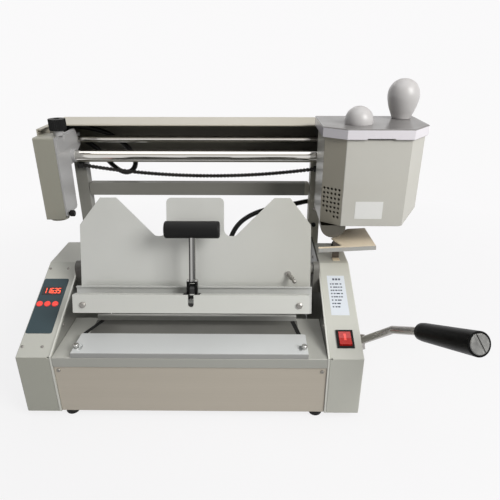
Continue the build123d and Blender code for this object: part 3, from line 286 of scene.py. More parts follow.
# One look for each finish. A zone recolours a stretch of the piece between its limits in millimetres.
looks = {
    "coverPaint": {"colour": (0.56, 0.56, 0.505), "rough": 0.42, "mottle": 0.03, "peel": powder,
                   "bump": 0.12, "edge": 0.0009, "coat": 0.12, "coatRough": 0.25,
                   # painted shade: the left cover's front face is darker, as less light falls on it
                   "zones": ({"colour": (0.45, 0.45, 0.39),
                              "limits": ((deep, -2.0, 0.9), (across, -262.0, -205.0))},),
                   "wear": {"radius": 0.0007, "gain": 5.0, "amount": 0.35, "colour": (0.7, 0.69, 0.66)}},
    "shellPaint": {"colour": (0.545, 0.535, 0.49), "rough": 0.4, "mottle": 0.03, "peel": powder,
                   "bump": 0.12, "edge": 0.0009, "coat": 0.12, "coatRough": 0.25,
                   "bands": {"scale": (9.0, 9.0, 26.0), "amount": 0.12, "colour": (0.5, 0.47, 0.40)},
                   # painted shade: the head shell's left chamfer is darker, as it faces away from the light
                   "zones": ({"colour": (0.38, 0.355, 0.29),
                              "limits": ((across, 196.0, 235.3), (deep, 140.0, 172.0))},)},
    "railPaint": {"colour": (0.545, 0.51, 0.42), "rough": 0.45, "mottle": 0.03, "peel": powder,
                  "bump": 0.12, "edge": 0.0008,
                  # painted shade: the channel's inside faces are dark, as its inside lies in shade
                  "zones": ({"colour": (0.21, 0.20, 0.17), "rough": 0.1,
                             "limits": ((deep, 280.5, 363.6), (up, 342.8, 405.8))},)},
    "castPaint": {"colour": (0.44, 0.44, 0.41), "rough": 0.4, "mottle": 0.04, "peel": powder,
                  "bump": 0.2},
    "cheekPaint": {"colour": (0.44, 0.435, 0.435), "rough": 0.36, "mottle": 0.03, "peel": powder,
                   "bump": 0.1, "edge": 0.0008},
    "olivePaint": {"colour": (0.36, 0.35, 0.29), "rough": 0.42, "mottle": 0.04, "peel": powder,
                   "bump": 0.12, "edge": 0.0009},
    # painted shade and light: the lid's top is painted dark for shade and dark reflection, and its rim,
    # between the zone's heights, painted light as lit from the front
    "lidPaint": {"colour": (0.20, 0.192, 0.188), "rough": 0.33, "mottle": 0.015, "edge": 0.0014,
                 "coat": 0.25, "coatRough": 0.1,
                 "zones": ({"colour": (0.76, 0.73, 0.77), "limits": ((up, 400.0, 422.6),)},)},
    "knobPaint": {"colour": (0.53, 0.515, 0.51), "rough": 0.36, "mottle": 0.015, "edge": 0.0014,
                  "coat": 0.1, "coatRough": 0.3},
    "frontPanelMetal": {"colour": (0.535, 0.485, 0.41), "rough": 0.4, "metal": 0.2, "grain": "x",
                        "grainDepth": 0.03, "bump": 0.04, "mottle": 0.02,
                        "bands": {"scale": (1.2, 4.0, 46.0), "amount": 0.3,
                                  "colour": (0.46, 0.415, 0.345)}},
    "deckMetal": {"colour": (0.50, 0.50, 0.46), "rough": 0.36, "metal": 0.2, "mottle": 0.03,
                  "peel": powder, "bump": 0.05,
                  # painted shade: the table's front face is darker, and the strip under the clamp darker
                  # still, as in its shadow
                  "zones": ({"colour": (0.41, 0.41, 0.375), "limits": ((deep, -9.0, 0.4),)},
                            {"colour": (0.17, 0.17, 0.155),
                             "limits": ((across, -168.0, 168.0), (deep, 57.5, 104.4),
                                        (up, 100.0, 115.0))})},
    "nipBarMetal": {"colour": (0.54, 0.54, 0.52), "rough": 0.34, "metal": 0.3, "mottle": 0.04},
    "nipPaint": {"colour": (0.74, 0.755, 0.75), "rough": 0.35, "metal": 0.1, "mottle": 0.02,
                 "edge": 0.0008,
                 # painted shade: the nip plate's front face is darker
                 "zones": ({"colour": (0.36, 0.36, 0.35), "limits": ((deep, -9.0, 1.6),)},)},
    "plateMetal": {"colour": (0.64, 0.645, 0.615), "rough": 0.36, "metal": 0.25, "mottle": 0.02,
                   "edge": 0.0007,
                   # painted shade: darker towards the right, against the stronger light there
                   "zones": ({"colour": (0.46, 0.455, 0.41), "fade": 0.75,
                              "limits": ((across, 20.0, 190.0),)},
                             # painted shade: the jaw's front face is darker, standing for its dark
                             # reflection
                             {"from": (0, 150.0, 190.0), "colour": (0.52, 0.525, 0.505),
                              "limits": ((leanOut, 60.0, 76.3),)},
                             {"from": (0, 150.0, 190.0), "colour": (0.02, 0.02, 0.02),
                              "limits": ((leanOut, 76.3, 120.0), (leanUp, -27.0, 60.0),
                                         (across, -1.4, 6.4))}),
                   "bands": {"scale": (5.0, 2.0, 2.0), "amount": 0.16, "colour": (0.53, 0.53, 0.49),
                             "rough": 0.05}},
    "barMetal": {"colour": (0.655, 0.66, 0.62), "rough": 0.35, "metal": 0.25, "mottle": 0.02,
                 "edge": 0.0007,
                 "bands": {"scale": (7.0, 2.0, 2.0), "amount": 0.14, "colour": (0.60, 0.60, 0.56),
                           "rough": 0.05}},
    "framePaint": {"colour": (0.25, 0.245, 0.22), "rough": 0.45, "mottle": 0.05, "peel": powder,
                   "bump": 0.15,
                   # painted light: the right post is painted lighter than the left one, against the glue
                   # head's shade
                   "zones": ({"colour": (0.48, 0.46, 0.39), "limits": ((across, 190.0, 225.0),)},)},
    "armPaint": {"colour": (0.16, 0.155, 0.14), "rough": 0.4, "mottle": 0.06, "peel": powder,
                 "bump": 0.15},
    "sideMetal": {"colour": (0.30, 0.30, 0.28), "rough": 0.36, "metal": 0.4, "mottle": 0.04, "grain": "y",
                  "grainDepth": 0.03, "bump": 0.04,
                  # painted shade on the right plate, and painted highlights along the plates' front and
                  # sloping top edges
                  "zones": ({"colour": (0.07, 0.07, 0.06), "limits": ((across, 190.0, 225.0),)},
                            {"colour": (0.62, 0.62, 0.57), "limits": ((deep, -9.0, 4.0),)},
                            {"from": (0, 0.5, 114.0), "colour": (0.62, 0.62, 0.57),
                             "limits": ((slopeNormal, -2.5, 9.0), (deep, -9.0, 165.0))})},
    "panMetal": {"colour": (0.30, 0.30, 0.28), "rough": 0.45, "metal": 0.6, "mottle": 0.12,
                 "mottleScale": 60.0,
                 "dust": {"scale": 9.0, "amount": 0.3, "colour": (0.35, 0.32, 0.28)}},
    "groundChrome": {"colour": (0.70, 0.685, 0.65), "rough": 0.1, "metal": 1.0, "mottle": 0.02,
                     "edge": 0.0004, "roughSpread": 0.03},
    "leverChrome": {"colour": (0.42, 0.415, 0.40), "rough": 0.1, "metal": 1.0, "mottle": 0.02,
                    "roughSpread": 0.03,
                    # painted reflections: dark bands along the lever's middle
                    "zones": ({"colour": (0.05, 0.05, 0.05), "limits": ((across, -2.0, 0.2),)},
                              {"colour": (0.13, 0.13, 0.125), "limits": ((across, 3.4, 7.0),)},
                              {"from": (0, 63.05, 189.44), "colour": (0.012, 0.012, 0.012), "rough": 0.3,
                               "limits": ((leanUp, 1.0, 21.0), (across, -9.0, 16.0))})},
    "rodChrome": {"colour": (0.66, 0.65, 0.63), "rough": 0.14, "metal": 1.0, "mottle": 0.03},
    "turnedSteel": {"colour": (0.50, 0.49, 0.47), "rough": 0.34, "metal": 1.0, "mottle": 0.05,
                    "peel": {"scale": 700.0, "height": 0.4}, "bump": 0.1},
    "capSteel": {"colour": (0.11, 0.11, 0.107), "rough": 0.36, "metal": 0.9, "mottle": 0.05,
                 "bands": {"scale": (60.0, 60.0, 60.0), "amount": 0.3, "colour": (0.5, 0.5, 0.48)}},
    "pinSteel": {"colour": (0.46, 0.46, 0.45), "rough": 0.2, "metal": 0.9, "mottle": 0.04,
                 "mottleScale": 200.0},
    "leverSteel": {"colour": (0.42, 0.405, 0.39), "rough": 0.21, "metal": 0.9, "mottle": 0.1,
                   "mottleScale": 60.0,
                   "peel": {"scale": 500.0, "height": 0.4}, "bump": 0.12},
    "blackSteel": {"colour": (0.018, 0.017, 0.016), "rough": 0.4, "metal": 0.2, "mottle": 0.2},
    "chainSteel": {"colour": (0.022, 0.02, 0.018), "rough": 0.36, "metal": 0.5, "mottle": 0.25,
                   "mottleScale": 120.0, "edge": 0.0002},
    "rubberBlack": {"colour": (0.012, 0.012, 0.012), "rough": 0.75, "mottle": 0.2, "peel": powder,
                    "bump": 0.3, "ior": 1.35,
                    "dust": {"scale": 60.0, "amount": 0.2, "colour": (0.05, 0.048, 0.045)}},
    "drumRubber": {"colour": (0.05, 0.045, 0.04), "rough": 0.45, "mottle": 0.2, "mottleScale": 90.0,
                   "dust": {"scale": 70.0, "amount": 0.5, "colour": (0.2, 0.15, 0.08)}},
    "grainPlastic": {"colour": (0.008, 0.008, 0.008), "rough": 0.5, "mottle": 0.1, "ior": 1.25,
                     "peel": {"scale": 1800.0, "height": 0.6}, "bump": 0.2},
    "gripPlastic": {"colour": (0.002, 0.002, 0.002), "rough": 0.34, "mottle": 0.1, "ior": 1.16,
                    "peel": {"scale": 900.0, "height": 0.3}, "bump": 0.06, "edge": 0.0012},
    "conduitPlastic": {"colour": (0.008, 0.008, 0.008), "rough": 0.42, "mottle": 0.15, "ior": 1.3,
                       "dust": {"scale": 90.0, "amount": 0.15, "colour": (0.07, 0.065, 0.06)}},
    "overlayFilm": {"colour": (0.048, 0.075, 0.086), "rough": 0.4, "mottle": 0.03, "edge": 0.0003,
                    "ior": 1.3,
                    "peel": {"scale": 2500.0, "height": 0.5}, "bump": 0.1},
    "displayGlass": {"colour": (0.012, 0.004, 0.004), "rough": 0.12, "mottle": 0.05, "coat": 0.4,
                     "coatRough": 0.05},
    "boardGreen": {"colour": (0.02, 0.13, 0.06), "rough": 0.3, "mottle": 0.15, "mottleScale": 300.0,
                   "coat": 0.3},
    # painted light: the buttons glow as if lit
    "redLens": {"colour": (0.66, 0.04, 0.03), "rough": 0.25, "mottle": 0.08, "coat": 0.3, "edge": 0.0005,
                "glow": (1.0, 0.05, 0.03), "glowPower": 0.5},
    "rockerLens": {"colour": (0.36, 0.010, 0.008), "rough": 0.25, "mottle": 0.1, "mottleScale": 90.0,
                   "coat": 0.3, "edge": 0.0005, "glow": (1.0, 0.03, 0.02), "glowPower": 0.12,
                   # painted highlight: a brighter strip along the rocker's middle
                   "zones": ({"colour": (0.95, 0.10, 0.08),
                              "limits": ((across, 233.2, 236.8), (deep, 27.0, 38.5))},)},
    "digitGlow": {"colour": (0.8, 0.05, 0.02), "rough": 0.4, "mottle": 0.04, "glow": (1.0, 0.09, 0.04),
                  "glowPower": 2.4},
    "trayMetal": {"colour": (0.97, 0.83, 0.62), "rough": 0.4, "metal": 0.0, "mottle": 0.06,
                  "mottleScale": 40.0,
                  "zones": ({"colour": (0.42, 0.42, 0.40), "limits": ((deep, 140.0, 148.3),)},
                            # painted shade: the tray's parts at the back and below its floor, under the
                            # glue head, are dark
                            {"colour": (0.14, 0.12, 0.10),
                             "limits": ((deep, 189.0, 300.0), (up, 100.0, 228.0))}),
                  "dust": {"scale": 30.0, "amount": 0.25, "colour": (0.6, 0.46, 0.34)}},
    "tankMetal": {"colour": (0.10, 0.093, 0.075), "rough": 0.42, "metal": 0.4, "mottle": 0.15,
                  "mottleScale": 50.0,
                  "dust": {"scale": 25.0, "amount": 0.4, "colour": (0.2, 0.16, 0.1)}},
    "toolSteel": {"colour": (0.42, 0.42, 0.43), "rough": 0.34, "metal": 1.0, "mottle": 0.08},
    "stickerPaper": {"colour": (0.70, 0.74, 0.79), "rough": 0.5, "mottle": 0.03, "edge": 0.0001},
    "platePaper": {"colour": (0.78, 0.78, 0.76), "rough": 0.45, "mottle": 0.03, "edge": 0.0001},
    "printInk": {"colour": (0.05, 0.06, 0.09), "rough": 0.5, "mottle": 0.1, "edge": 0.0001},
    "boltSteel": {"colour": (0.30, 0.29, 0.27), "rough": 0.35, "metal": 0.9, "mottle": 0.15,
                  "mottleScale": 200.0},
}
materials = {name: surface(name, look) for name, look in looks.items()}
print("finishes made:", len(materials))

nodeFinish = {
    "coverPaint": ("left_side_cover", "right_side_cover"),
    "shellPaint": ("head_shell",),
    "railPaint": ("rail_channel", "rail_end_plates"),
    "olivePaint": ("mill_cover",),
    "castPaint": ("head_carriage",),
    "cheekPaint": ("mill_carriage",),
    "lidPaint": ("head_lid",),
    "frontPanelMetal": ("front_panel",),
    "deckMetal": ("table_top",),
    "nipBarMetal": ("rear_nip_bar",),
    "nipPaint": ("nip_plate",),
    "plateMetal": ("clamp_back_plate", "clamp_jaw"),
    "barMetal": ("clamp_front_bar",),
    "framePaint": ("tower_posts", "cross_bar"),
    "armPaint": ("clamp_side_arms", "pivot_bushes"),
    "sideMetal": ("left_side_plate", "right_side_plate"),
    "panMetal": ("base_pan",),
    "groundChrome": ("main_guide_rod", "rear_guide_rod"),
    "leverChrome": ("clamp_lever",),
    "rodChrome": ("clamp_guide_rods",),
    "boltSteel": ("clamp_studs",),
    "pinSteel": ("nip_pins",),
    "turnedSteel": ("nip_shaft", "nip_carriage"),
    "capSteel": ("grip_cap",),
    "leverSteel": ("lever_arm",),
    "blackSteel": ("chain_anchors", "lever_clevis"),
    "chainSteel": ("drive_chain",),
    "rubberBlack": ("rubber_feet",),
    "drumRubber": ("glue_roller",),
    "grainPlastic": ("switch_bezel", "power_inlet", "conduit_glands", "depth_knob", "lock_knob",
                     "clamp_lever_grip"),
    "gripPlastic": ("lever_grip",),
    "overlayFilm": ("control_panel",),
    "displayGlass": ("display_window",),
    "boardGreen": ("control_board",),
    "redLens": ("button_1", "button_2", "button_3"),
    "rockerLens": ("power_rocker",),
    "trayMetal": ("drip_tray",),
    "tankMetal": ("glue_tank",),
    "toolSteel": ("mill_motor", "mill_cutter"),
}
for finishName, nodeNames in nodeFinish.items():
    for nodeName in nodeNames:
        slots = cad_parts[nodeName].data.materials
        slots.clear()
        slots.append(materials[finishName])
print("carried pieces finished")


# Mesh helpers

creases = {"fitting": 40, "conduit": 60, "carried": 32}  # degrees past which an edge stays sharp


def build(name, verts, faces, finish, body, slot, crease=None):
    mesh = bpy.data.meshes.new(name)
    mesh.from_pydata([tuple(v) for v in verts], [], faces)
    mesh.validate()
    tidy = bmesh.new()
    tidy.from_mesh(mesh)
    bmesh.ops.recalc_face_normals(tidy, faces=tidy.faces)
    tidy.to_mesh(mesh)
    tidy.free()
    piece = bpy.data.objects.new(name, mesh)
    bpy.context.scene.collection.objects.link(piece)
    mesh.materials.append(materials[finish])
    if crease is not None:
        smoothBelow(piece, crease)
    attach(piece, body)
    return piece


def smoothBelow(piece, angle):
    # smooth shading, split where faces meet more sharply than the angle
    mesh = piece.data
    mesh.polygons.foreach_set("use_smooth", [True] * len(mesh.polygons))
    mesh.set_sharp_from_angle(angle=math.radians(angle))


def basis(axis):
    # two directions square to the axis and to each other, then the axis itself
    w = Vector(axis).normalized()
    start = Vector((1, 0, 0)) if abs(w.x) < 0.9 else Vector((0, 1, 0))
    u = (start - w * start.dot(w)).normalized()
    return u, w.cross(u), w


def revolve(profile, origin, axis, segments):
    # profile: (radius, height) in mm, drawn from the axis to the axis; no radius makes one point
    u, v, w = basis(axis)
    verts, faces = [], []
    rings = []
    for radius, height in profile:
        centre = origin + w * mm(height)
        if radius == 0.0:
            rings.append([len(verts)])
            verts.append(centre)
            continue
        ring = []
        for k in range(segments):
            turn = 2 * math.pi * k / segments
            ring.append(len(verts))
            verts.append(centre + (u * math.cos(turn) + v * math.sin(turn)) * mm(radius))
        rings.append(ring)
    for a, b in zip(rings, rings[1:]):
        for k in range(segments):
            j = (k + 1) % segments
            if len(a) == 1 and len(b) == 1:
                continue
            if len(a) == 1:
                faces.append((a[0], b[k], b[j]))
            elif len(b) == 1:
                faces.append((a[k], a[j], b[0]))
            else:
                faces.append((a[k], a[j], b[j], b[k]))
    return verts, faces


def join(parts):
    verts, faces = [], []
    for partVerts, partFaces in parts:
        shift = len(verts)
        verts += partVerts
        faces += [tuple(i + shift for i in f) for f in partFaces]
    return verts, faces


def slab(x, y, z, toWorld):
    # a box between limits, through a function from local mm to the frame
    corners = [(a, b, c) for a in x for b in y for c in z]
    verts = [toWorld(*c) for c in corners]
    faces = [(0, 1, 3, 2), (4, 6, 7, 5), (0, 4, 5, 1), (2, 3, 7, 6), (0, 2, 6, 4), (1, 5, 7, 3)]
    return verts, faces


def smoothProfile(spots, steps):
    # a smooth line through the spots
    out = []
    for k in range(len(spots) - 1):
        before = spots[max(0, k - 1)]
        start, end = spots[k], spots[k + 1]
        after = spots[min(len(spots) - 1, k + 2)]
        for s in range(steps):
            t = s / steps
            point = []
            for a, b, c, d in zip(before, start, end, after):
                point.append(0.5 * (2 * b + (c - a) * t + (2 * a - 5 * b + 4 * c - d) * t * t
                                    + (3 * b - a - 3 * c + d) * t ** 3))
            out.append(tuple(point))
    out.append(spots[-1])
    return out


# Corrugated conduits

conduit = {"radius": 5.0, "valley": 4.1, "pitch": 2.6, "sides": 20, "curveOrder": 3, "curveSteps": 24}
supplyRoute = [(50, 297, 30), (50, 297, 85), (47, 298, 130), (45, 299, 175), (62, 299, 212), (92, 300, 234),
               (130, 303, 245), (176, 313, 250), (208, 318.5, 256), (237, 317, 246), (250, 303, 231),
               (251, 282, 221), (250, 263, 217), (249, 245, 212), (249, 245, 197)]
channelRoute = [(-259, 336, 395), (-230, 336, 395), (-197, 335, 388), (-172, 335, 377), (-150, 335, 360),
                (-137, 335, 342), (-134, 336, 322), (-145, 336, 307), (-163, 336, 306), (-183, 337, 322),
                (-199, 337, 345), (-218, 338, 362), (-238, 339, 372), (-259, 339, 372)]


def centreLine(route):
    # the route's smooth line, read from a NURBS curve with no bevel
    curve = bpy.data.curves.new("route", "CURVE")
    curve.dimensions = "3D"
    curve.resolution_u = conduit["curveSteps"]
    spline = curve.splines.new("NURBS")
    spline.points.add(len(route) - 1)
    for point, spot in zip(spline.points, route):
        point.co = (*at(*spot), 1.0)
    spline.order_u = conduit["curveOrder"]
    spline.use_endpoint_u = True
    holder = bpy.data.objects.new("route", curve)
    mesh = bpy.data.meshes.new_from_object(holder)
    line = [v.co.copy() for v in mesh.vertices]
    bpy.data.objects.remove(holder)
    bpy.data.meshes.remove(mesh)
    return line


def evenly(line, step):
    # the line's points again, a near-even step apart, and its length
    lengths = [0.0]
    for a, b in zip(line, line[1:]):
        lengths.append(lengths[-1] + (b - a).length)
    total = lengths[-1]
    count = max(2, round(total / step))
    out, k = [], 0
    for n in range(count + 1):
        want = total * n / count
        while k < len(line) - 2 and lengths[k + 1] < want:
            k += 1
        share = (want - lengths[k]) / max(1e-9, lengths[k + 1] - lengths[k])
        out.append(line[k].lerp(line[k + 1], share))
    return out, total


def corrugated(name, route, node, body):
    radii = (conduit["radius"], conduit["radius"], conduit["valley"], conduit["valley"])
    line, total = evenly(centreLine(route), mm(conduit["pitch"]) / len(radii))
    sides = conduit["sides"]
    verts, faces = [], []
    side = basis(line[1] - line[0])[0]
    for k, spot in enumerate(line):
        run = (line[min(k + 1, len(line) - 1)] - line[max(k - 1, 0)]).normalized()
        side = (side - run * side.dot(run)).normalized()
        rise = run.cross(side)
        radius = mm(radii[k % len(radii)])
        for j in range(sides):
            turn = 2 * math.pi * j / sides
            verts.append(spot + (side * math.cos(turn) + rise * math.sin(turn)) * radius)
    for k in range(len(line) - 1):
        for j in range(sides):
            i = (j + 1) % sides
            faces.append((k * sides + j, k * sides + i, (k + 1) * sides + i, (k + 1) * sides + j))
    faces.append(tuple(range(sides)))
    faces.append(tuple((len(line) - 1) * sides + j for j in range(sides)))
    piece = build(name, verts, faces, "conduitPlastic", body, "conduit_plastic", creases["conduit"])
    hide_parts(node)
    tuple(at(*route[0]))
    mm(2 * conduit["radius"])
    print(name, "length", round(total, 4))


corrugated("supplyConduit", supplyRoute, "supply_conduit", "frame")
corrugated("channelConduit", channelRoute, "channel_conduit", "frame")

# The sloping control faces

slope = {"start": 0.5, "low": 114.0, "end": 170.0, "high": 190.5}
slopeTurn = math.atan2(slope["high"] - slope["low"], slope["end"] - slope["start"])
slopeUp = Vector((0, math.cos(slopeTurn), math.sin(slopeTurn)))
slopeOut = Vector((0, -math.sin(slopeTurn), math.cos(slopeTurn)))


def onSlope(x, along, out=0.0):
    return at(x, slope["start"], slope["low"]) + slopeUp * mm(along) + slopeOut * mm(out)


# Cross-head screws

screwHead = {"sides": 24, "rings": ((1.0, 0.0), (1.0, 0.35), (0.92, 0.75), (0.78, 1.0)),
             "crossLong": 0.62, "crossHalf": 0.16, "crossDeep": 0.55, "crossTaper": 0.8}


def screwMesh(origin, axis, radius, height, turn):
    # a domed head with a cross recess cut into its top, in shares of its radius and height
    u, v, w = basis(axis)
    spin = math.radians(turn)
    armRun = u * math.cos(spin) + v * math.sin(spin)
    armSide = w.cross(armRun)
    arm, half = radius * screwHead["crossLong"], radius * screwHead["crossHalf"]
    cross = [(half, half), (arm, half), (arm, -half), (half, -half), (half, -arm), (-half, -arm),
             (-half, -half), (-arm, -half), (-arm, half), (-half, half), (-half, arm), (half, arm)]
    mesh = bmesh.new()

    def spotAt(a, b, h):
        return mesh.verts.new(origin + armRun * mm(a) + armSide * mm(b) + w * mm(h))

    sides = screwHead["sides"]
    turns = [2 * math.pi * k / sides for k in range(sides)]

    def ringAt(share, rise):
        wide, high = radius * share, height * rise
        return [spotAt(wide * math.cos(t), wide * math.sin(t), high) for t in turns]

    rings = [ringAt(share, rise) for share, rise in screwHead["rings"]]
    for a, b in zip(rings, rings[1:]):
        for k in range(sides):
            mesh.faces.new((a[k], a[(k + 1) % sides], b[(k + 1) % sides], b[k]))
    top = [spotAt(a, b, height) for a, b in cross]
    taper, sunk = screwHead["crossTaper"], height * screwHead["crossDeep"]
    floor = [spotAt(a * taper, b * taper, height - sunk) for a, b in cross]
    corners = len(cross)
    for k in range(corners):
        mesh.faces.new((top[k], top[(k + 1) % corners], floor[(k + 1) % corners], floor[k]))
    mesh.faces.new(floor)
    mesh.faces.new(rings[0])
    rim = [mesh.edges.get((rings[-1][k], rings[-1][(k + 1) % sides])) for k in range(sides)]
    inner = [mesh.edges.get((top[k], top[(k + 1) % corners])) for k in range(corners)]
    bmesh.ops.triangle_fill(mesh, edges=rim + inner, use_beauty=True)
    mesh.verts.index_update()
    verts = [v.co.copy() for v in mesh.verts]
    faces = [tuple(v.index for v in f.verts) for f in mesh.faces]
    mesh.free()
    return verts, faces


# A screw's x or y in mm also serves as the angle of its recess, so that neighbours are turned differently
coverScrews = {"x": (-255.0, -224.5), "along": (18.6, 171.0), "radius": 2.4, "height": 1.1}
panelScrews = {"x": (-199.0, 199.0), "y": 2.0, "z": 90.0, "radius": 3.0, "height": 1.5}
found = []
for x in coverScrews["x"]:
    for along in coverScrews["along"]:
        spot = onSlope(x, along)
        found.append(screwMesh(spot, slopeOut, coverScrews["radius"], coverScrews["height"], x))
for x in panelScrews["x"]:
    spot = at(x, panelScrews["y"], panelScrews["z"])
    found.append(screwMesh(spot, (0, -1, 0), panelScrews["radius"], panelScrews["height"], x))
build("cabinetScrews", *join(found), "boltSteel", "frame", "bright_steel", creases["fitting"])
print("screws made")

# Knob and screw on the right post, screws on the side plates

postKnob = {"x": 210.0, "y": 285.5, "z": 218.0, "radius": 4.2, "long": 5.0, "neckRadius": 3.0,
            "neckLong": 1.2, "flareEnd": 1.6, "chamfer": 0.8, "segments": 32}
postScrew = {"x": 210.0, "y": 285.5, "z": 249.0, "radius": 3.0, "height": 1.4, "turn": 35.0}
knobProfile = [(0.0, 0.0), (postKnob["neckRadius"], 0.0), (postKnob["neckRadius"], postKnob["neckLong"]),
               (postKnob["radius"], postKnob["flareEnd"]),
               (postKnob["radius"], postKnob["long"] - postKnob["chamfer"]),
               (postKnob["radius"] - postKnob["chamfer"], postKnob["long"]), (0.0, postKnob["long"])]
spot = at(postKnob["x"], postKnob["y"], postKnob["z"])
knob = revolve(knobProfile, spot, (0, -1, 0), postKnob["segments"])
build("postKnob", *knob, "grainPlastic", "frame", "black_plastic", creases["fitting"])
spot = at(postScrew["x"], postScrew["y"], postScrew["z"])
screw = screwMesh(spot, (0, -1, 0), postScrew["radius"], postScrew["height"], postScrew["turn"])
build("postScrew", *screw, "boltSteel", "frame", "bright_steel", creases["fitting"])

plateScrews = {"x": 205.98, "y": (60.5, 236.0), "z": (132.7, 172.0), "radius": 3.0, "height": 1.5}
found = []
for side in (-1, 1):
    for y, z in zip(plateScrews["y"], plateScrews["z"]):
        spot = at(side * plateScrews["x"], y, z)
        found.append(screwMesh(spot, (-side, 0, 0), plateScrews["radius"], plateScrews["height"], y))
build("plateScrews", *join(found), "boltSteel", "frame", "bright_steel", creases["fitting"])

# Painted shade: dark strips over the table's two slanting slots, widening their shaded look, each slot
# written as the two ends of its middle line

guideSlots = (((-175.5, 66.0), (-158.5, 101.5)), ((168.0, 65.0), (160.5, 101.5)))
slotShade = {"half": 3.5, "past": 1.5, "z": (113.95, 114.12)}


def alongSlot(start, end):
    # places by their run along the slot, their distance to its side and their height
    run = (Vector(end) - Vector(start)).normalized()
    side = Vector((-run.y, run.x))
    return lambda a, b, z: at(*(Vector(start) + run * a + side * b), z)


found = []
for start, end in guideSlots:
    long = (Vector(end) - Vector(start)).length
    ends = (-slotShade["past"], long + slotShade["past"])
    found.append(slab(ends, (-slotShade["half"], slotShade["half"]), slotShade["z"], alongSlot(start, end)))
build("slotShadeStrips", *join(found), "rubberBlack", "frame", "black_plastic")
print("fittings made")

# Display digits

display = {"x": -252.2, "along": 118.2, "tall": 10.2, "wide": 4.5, "step": 5.75, "bar": 1.0, "gap": 0.25,
           "out": (0.91, 0.97), "text": "11635", "dotAfter": 3, "dotBack": 1.2, "dotWide": 0.8}
segmentsOf = {"1": "bc", "3": "abgcd", "5": "afgcd", "6": "afgedc"}


def digitMesh(symbol, x):
    # a digit on the display from seven bars, which go round from the top as a to f, with g in the middle
    bar, tall, wide, low = display["bar"], display["tall"], display["wide"], display["along"]
    half = tall / 2
    bars = {
        "a": ((x, x + wide), (low + tall - bar, low + tall)),
        "g": ((x, x + wide), (low + half - bar / 2, low + half + bar / 2)),
        "d": ((x, x + wide), (low, low + bar)),
        "f": ((x, x + bar), (low + half, low + tall)),
        "b": ((x + wide - bar, x + wide), (low + half, low + tall)),
        "e": ((x, x + bar), (low, low + half)),
        "c": ((x + wide - bar, x + wide), (low, low + half)),
    }
    gap = display["gap"]
    made = []
    for key in segmentsOf[symbol]:
        (x0, x1), (a0, a1) = bars[key]
        if key in "agd":
            x0, x1 = x0 + gap, x1 - gap
        else:
            a0, a1 = a0 + gap, a1 - gap
        made.append(slab((x0, x1), (a0, a1), display["out"], onSlope))
    return join(made)


digits = [digitMesh(symbol, display["x"] + k * display["step"]) for k, symbol in enumerate(display["text"])]
dot = display["x"] + display["dotAfter"] * display["step"] - display["dotBack"]
dotAlong = (display["along"], display["along"] + display["dotWide"])
digits.append(slab((dot, dot + display["dotWide"]), dotAlong, display["out"], onSlope))
build("displayDigits", *join(digits), "digitGlow", "frame", "red_lens")

# Stickers

sticker = {"x": (219.0, 248.0), "along": (78.0, 158.0), "thick": 0.12, "inkTop": 0.17}
blocks = {"starts": (0.30, 0.47, 0.64), "drop": 6.0, "wide": 3.4, "tall": 3.8}
dashes = {
    "inset": 0.13, "drop": 16.5, "step": 6.6, "tall": 2.4, "wide": 2.4, "wider": 0.6,
    "starts": ((0.0, 0.13, 0.29, 0.40, 0.56), (0.0, 0.17, 0.29, 0.45, 0.58), (0.0, 0.11, 0.26, 0.43, 0.55),
               (0.0, 0.15, 0.31, 0.42, 0.57), (0.0, 0.13, 0.25, 0.42, 0.54), (0.0, 0.18, 0.33, 0.46),
               (0.0, 0.12, 0.28, 0.39), (0.0, 0.16, 0.30)),
}
stickerLeft, stickerRight = sticker["x"]
stickerWide = stickerRight - stickerLeft
build("slopeSticker", *slab(sticker["x"], sticker["along"], (0.0, sticker["thick"]), onSlope),
      "stickerPaper", "frame", "overlay_film")
inkOut = (sticker["thick"], sticker["inkTop"])
marks = []
for start in blocks["starts"]:
    x0 = stickerLeft + stickerWide * start
    top = sticker["along"][1] - blocks["drop"]
    marks.append(slab((x0, x0 + blocks["wide"]), (top - blocks["tall"], top), inkOut, onSlope))
for row, starts in enumerate(dashes["starts"]):
    top = sticker["along"][1] - dashes["drop"] - row * dashes["step"]
    for k, start in enumerate(starts):
        x0 = stickerLeft + stickerWide * (dashes["inset"] + start)
        long = dashes["wide"] + k % 3 * dashes["wider"]
        marks.append(slab((x0, x0 + long), (top - dashes["tall"], top), inkOut, onSlope))
build("stickerRows", *join(marks), "printInk", "frame", "black_plastic")

headPlate = {"x": (257.0, 301.0), "z": (281.0, 310.0), "y": (146.75, 147.0)}
build("headPlate", *slab(headPlate["x"], headPlate["y"], headPlate["z"], at), "platePaper", "glue_head",
      "nip_steel")
print("stickers and digits made")

# Knobs on the lid

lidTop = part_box("head_lid")[1].z
ballKnob = {"x": 260.0, "y": 192.0, "radius": 22.3, "centre": 5.0, "steps": 24, "segments": 64}
pushKnob = {"x": 341.0, "y": 246.0, "footSpots": 3, "steps": 4, "segments": 64,
            "spots": [(0.0, 0.0), (14.2, 0.0), (15.2, 0.8), (15.6, 2.0), (18.0, 8.0), (20.6, 14.0),
                      (23.0, 21.0), (24.9, 29.0), (25.7, 36.0), (25.2, 42.5), (23.2, 49.0), (19.6, 54.8),
                      (14.6, 59.4), (8.6, 62.3), (3.6, 63.3), (0.0, 63.5)]}


def lidKnob(name, knob, profile):
    foot = at(knob["x"], knob["y"], 0)
    foot.z = lidTop
    turned = revolve(profile, foot, (0, 0, 1), knob["segments"])
    return build(name, *turned, "knobPaint", "lid", "knob_plastic", creases["fitting"])


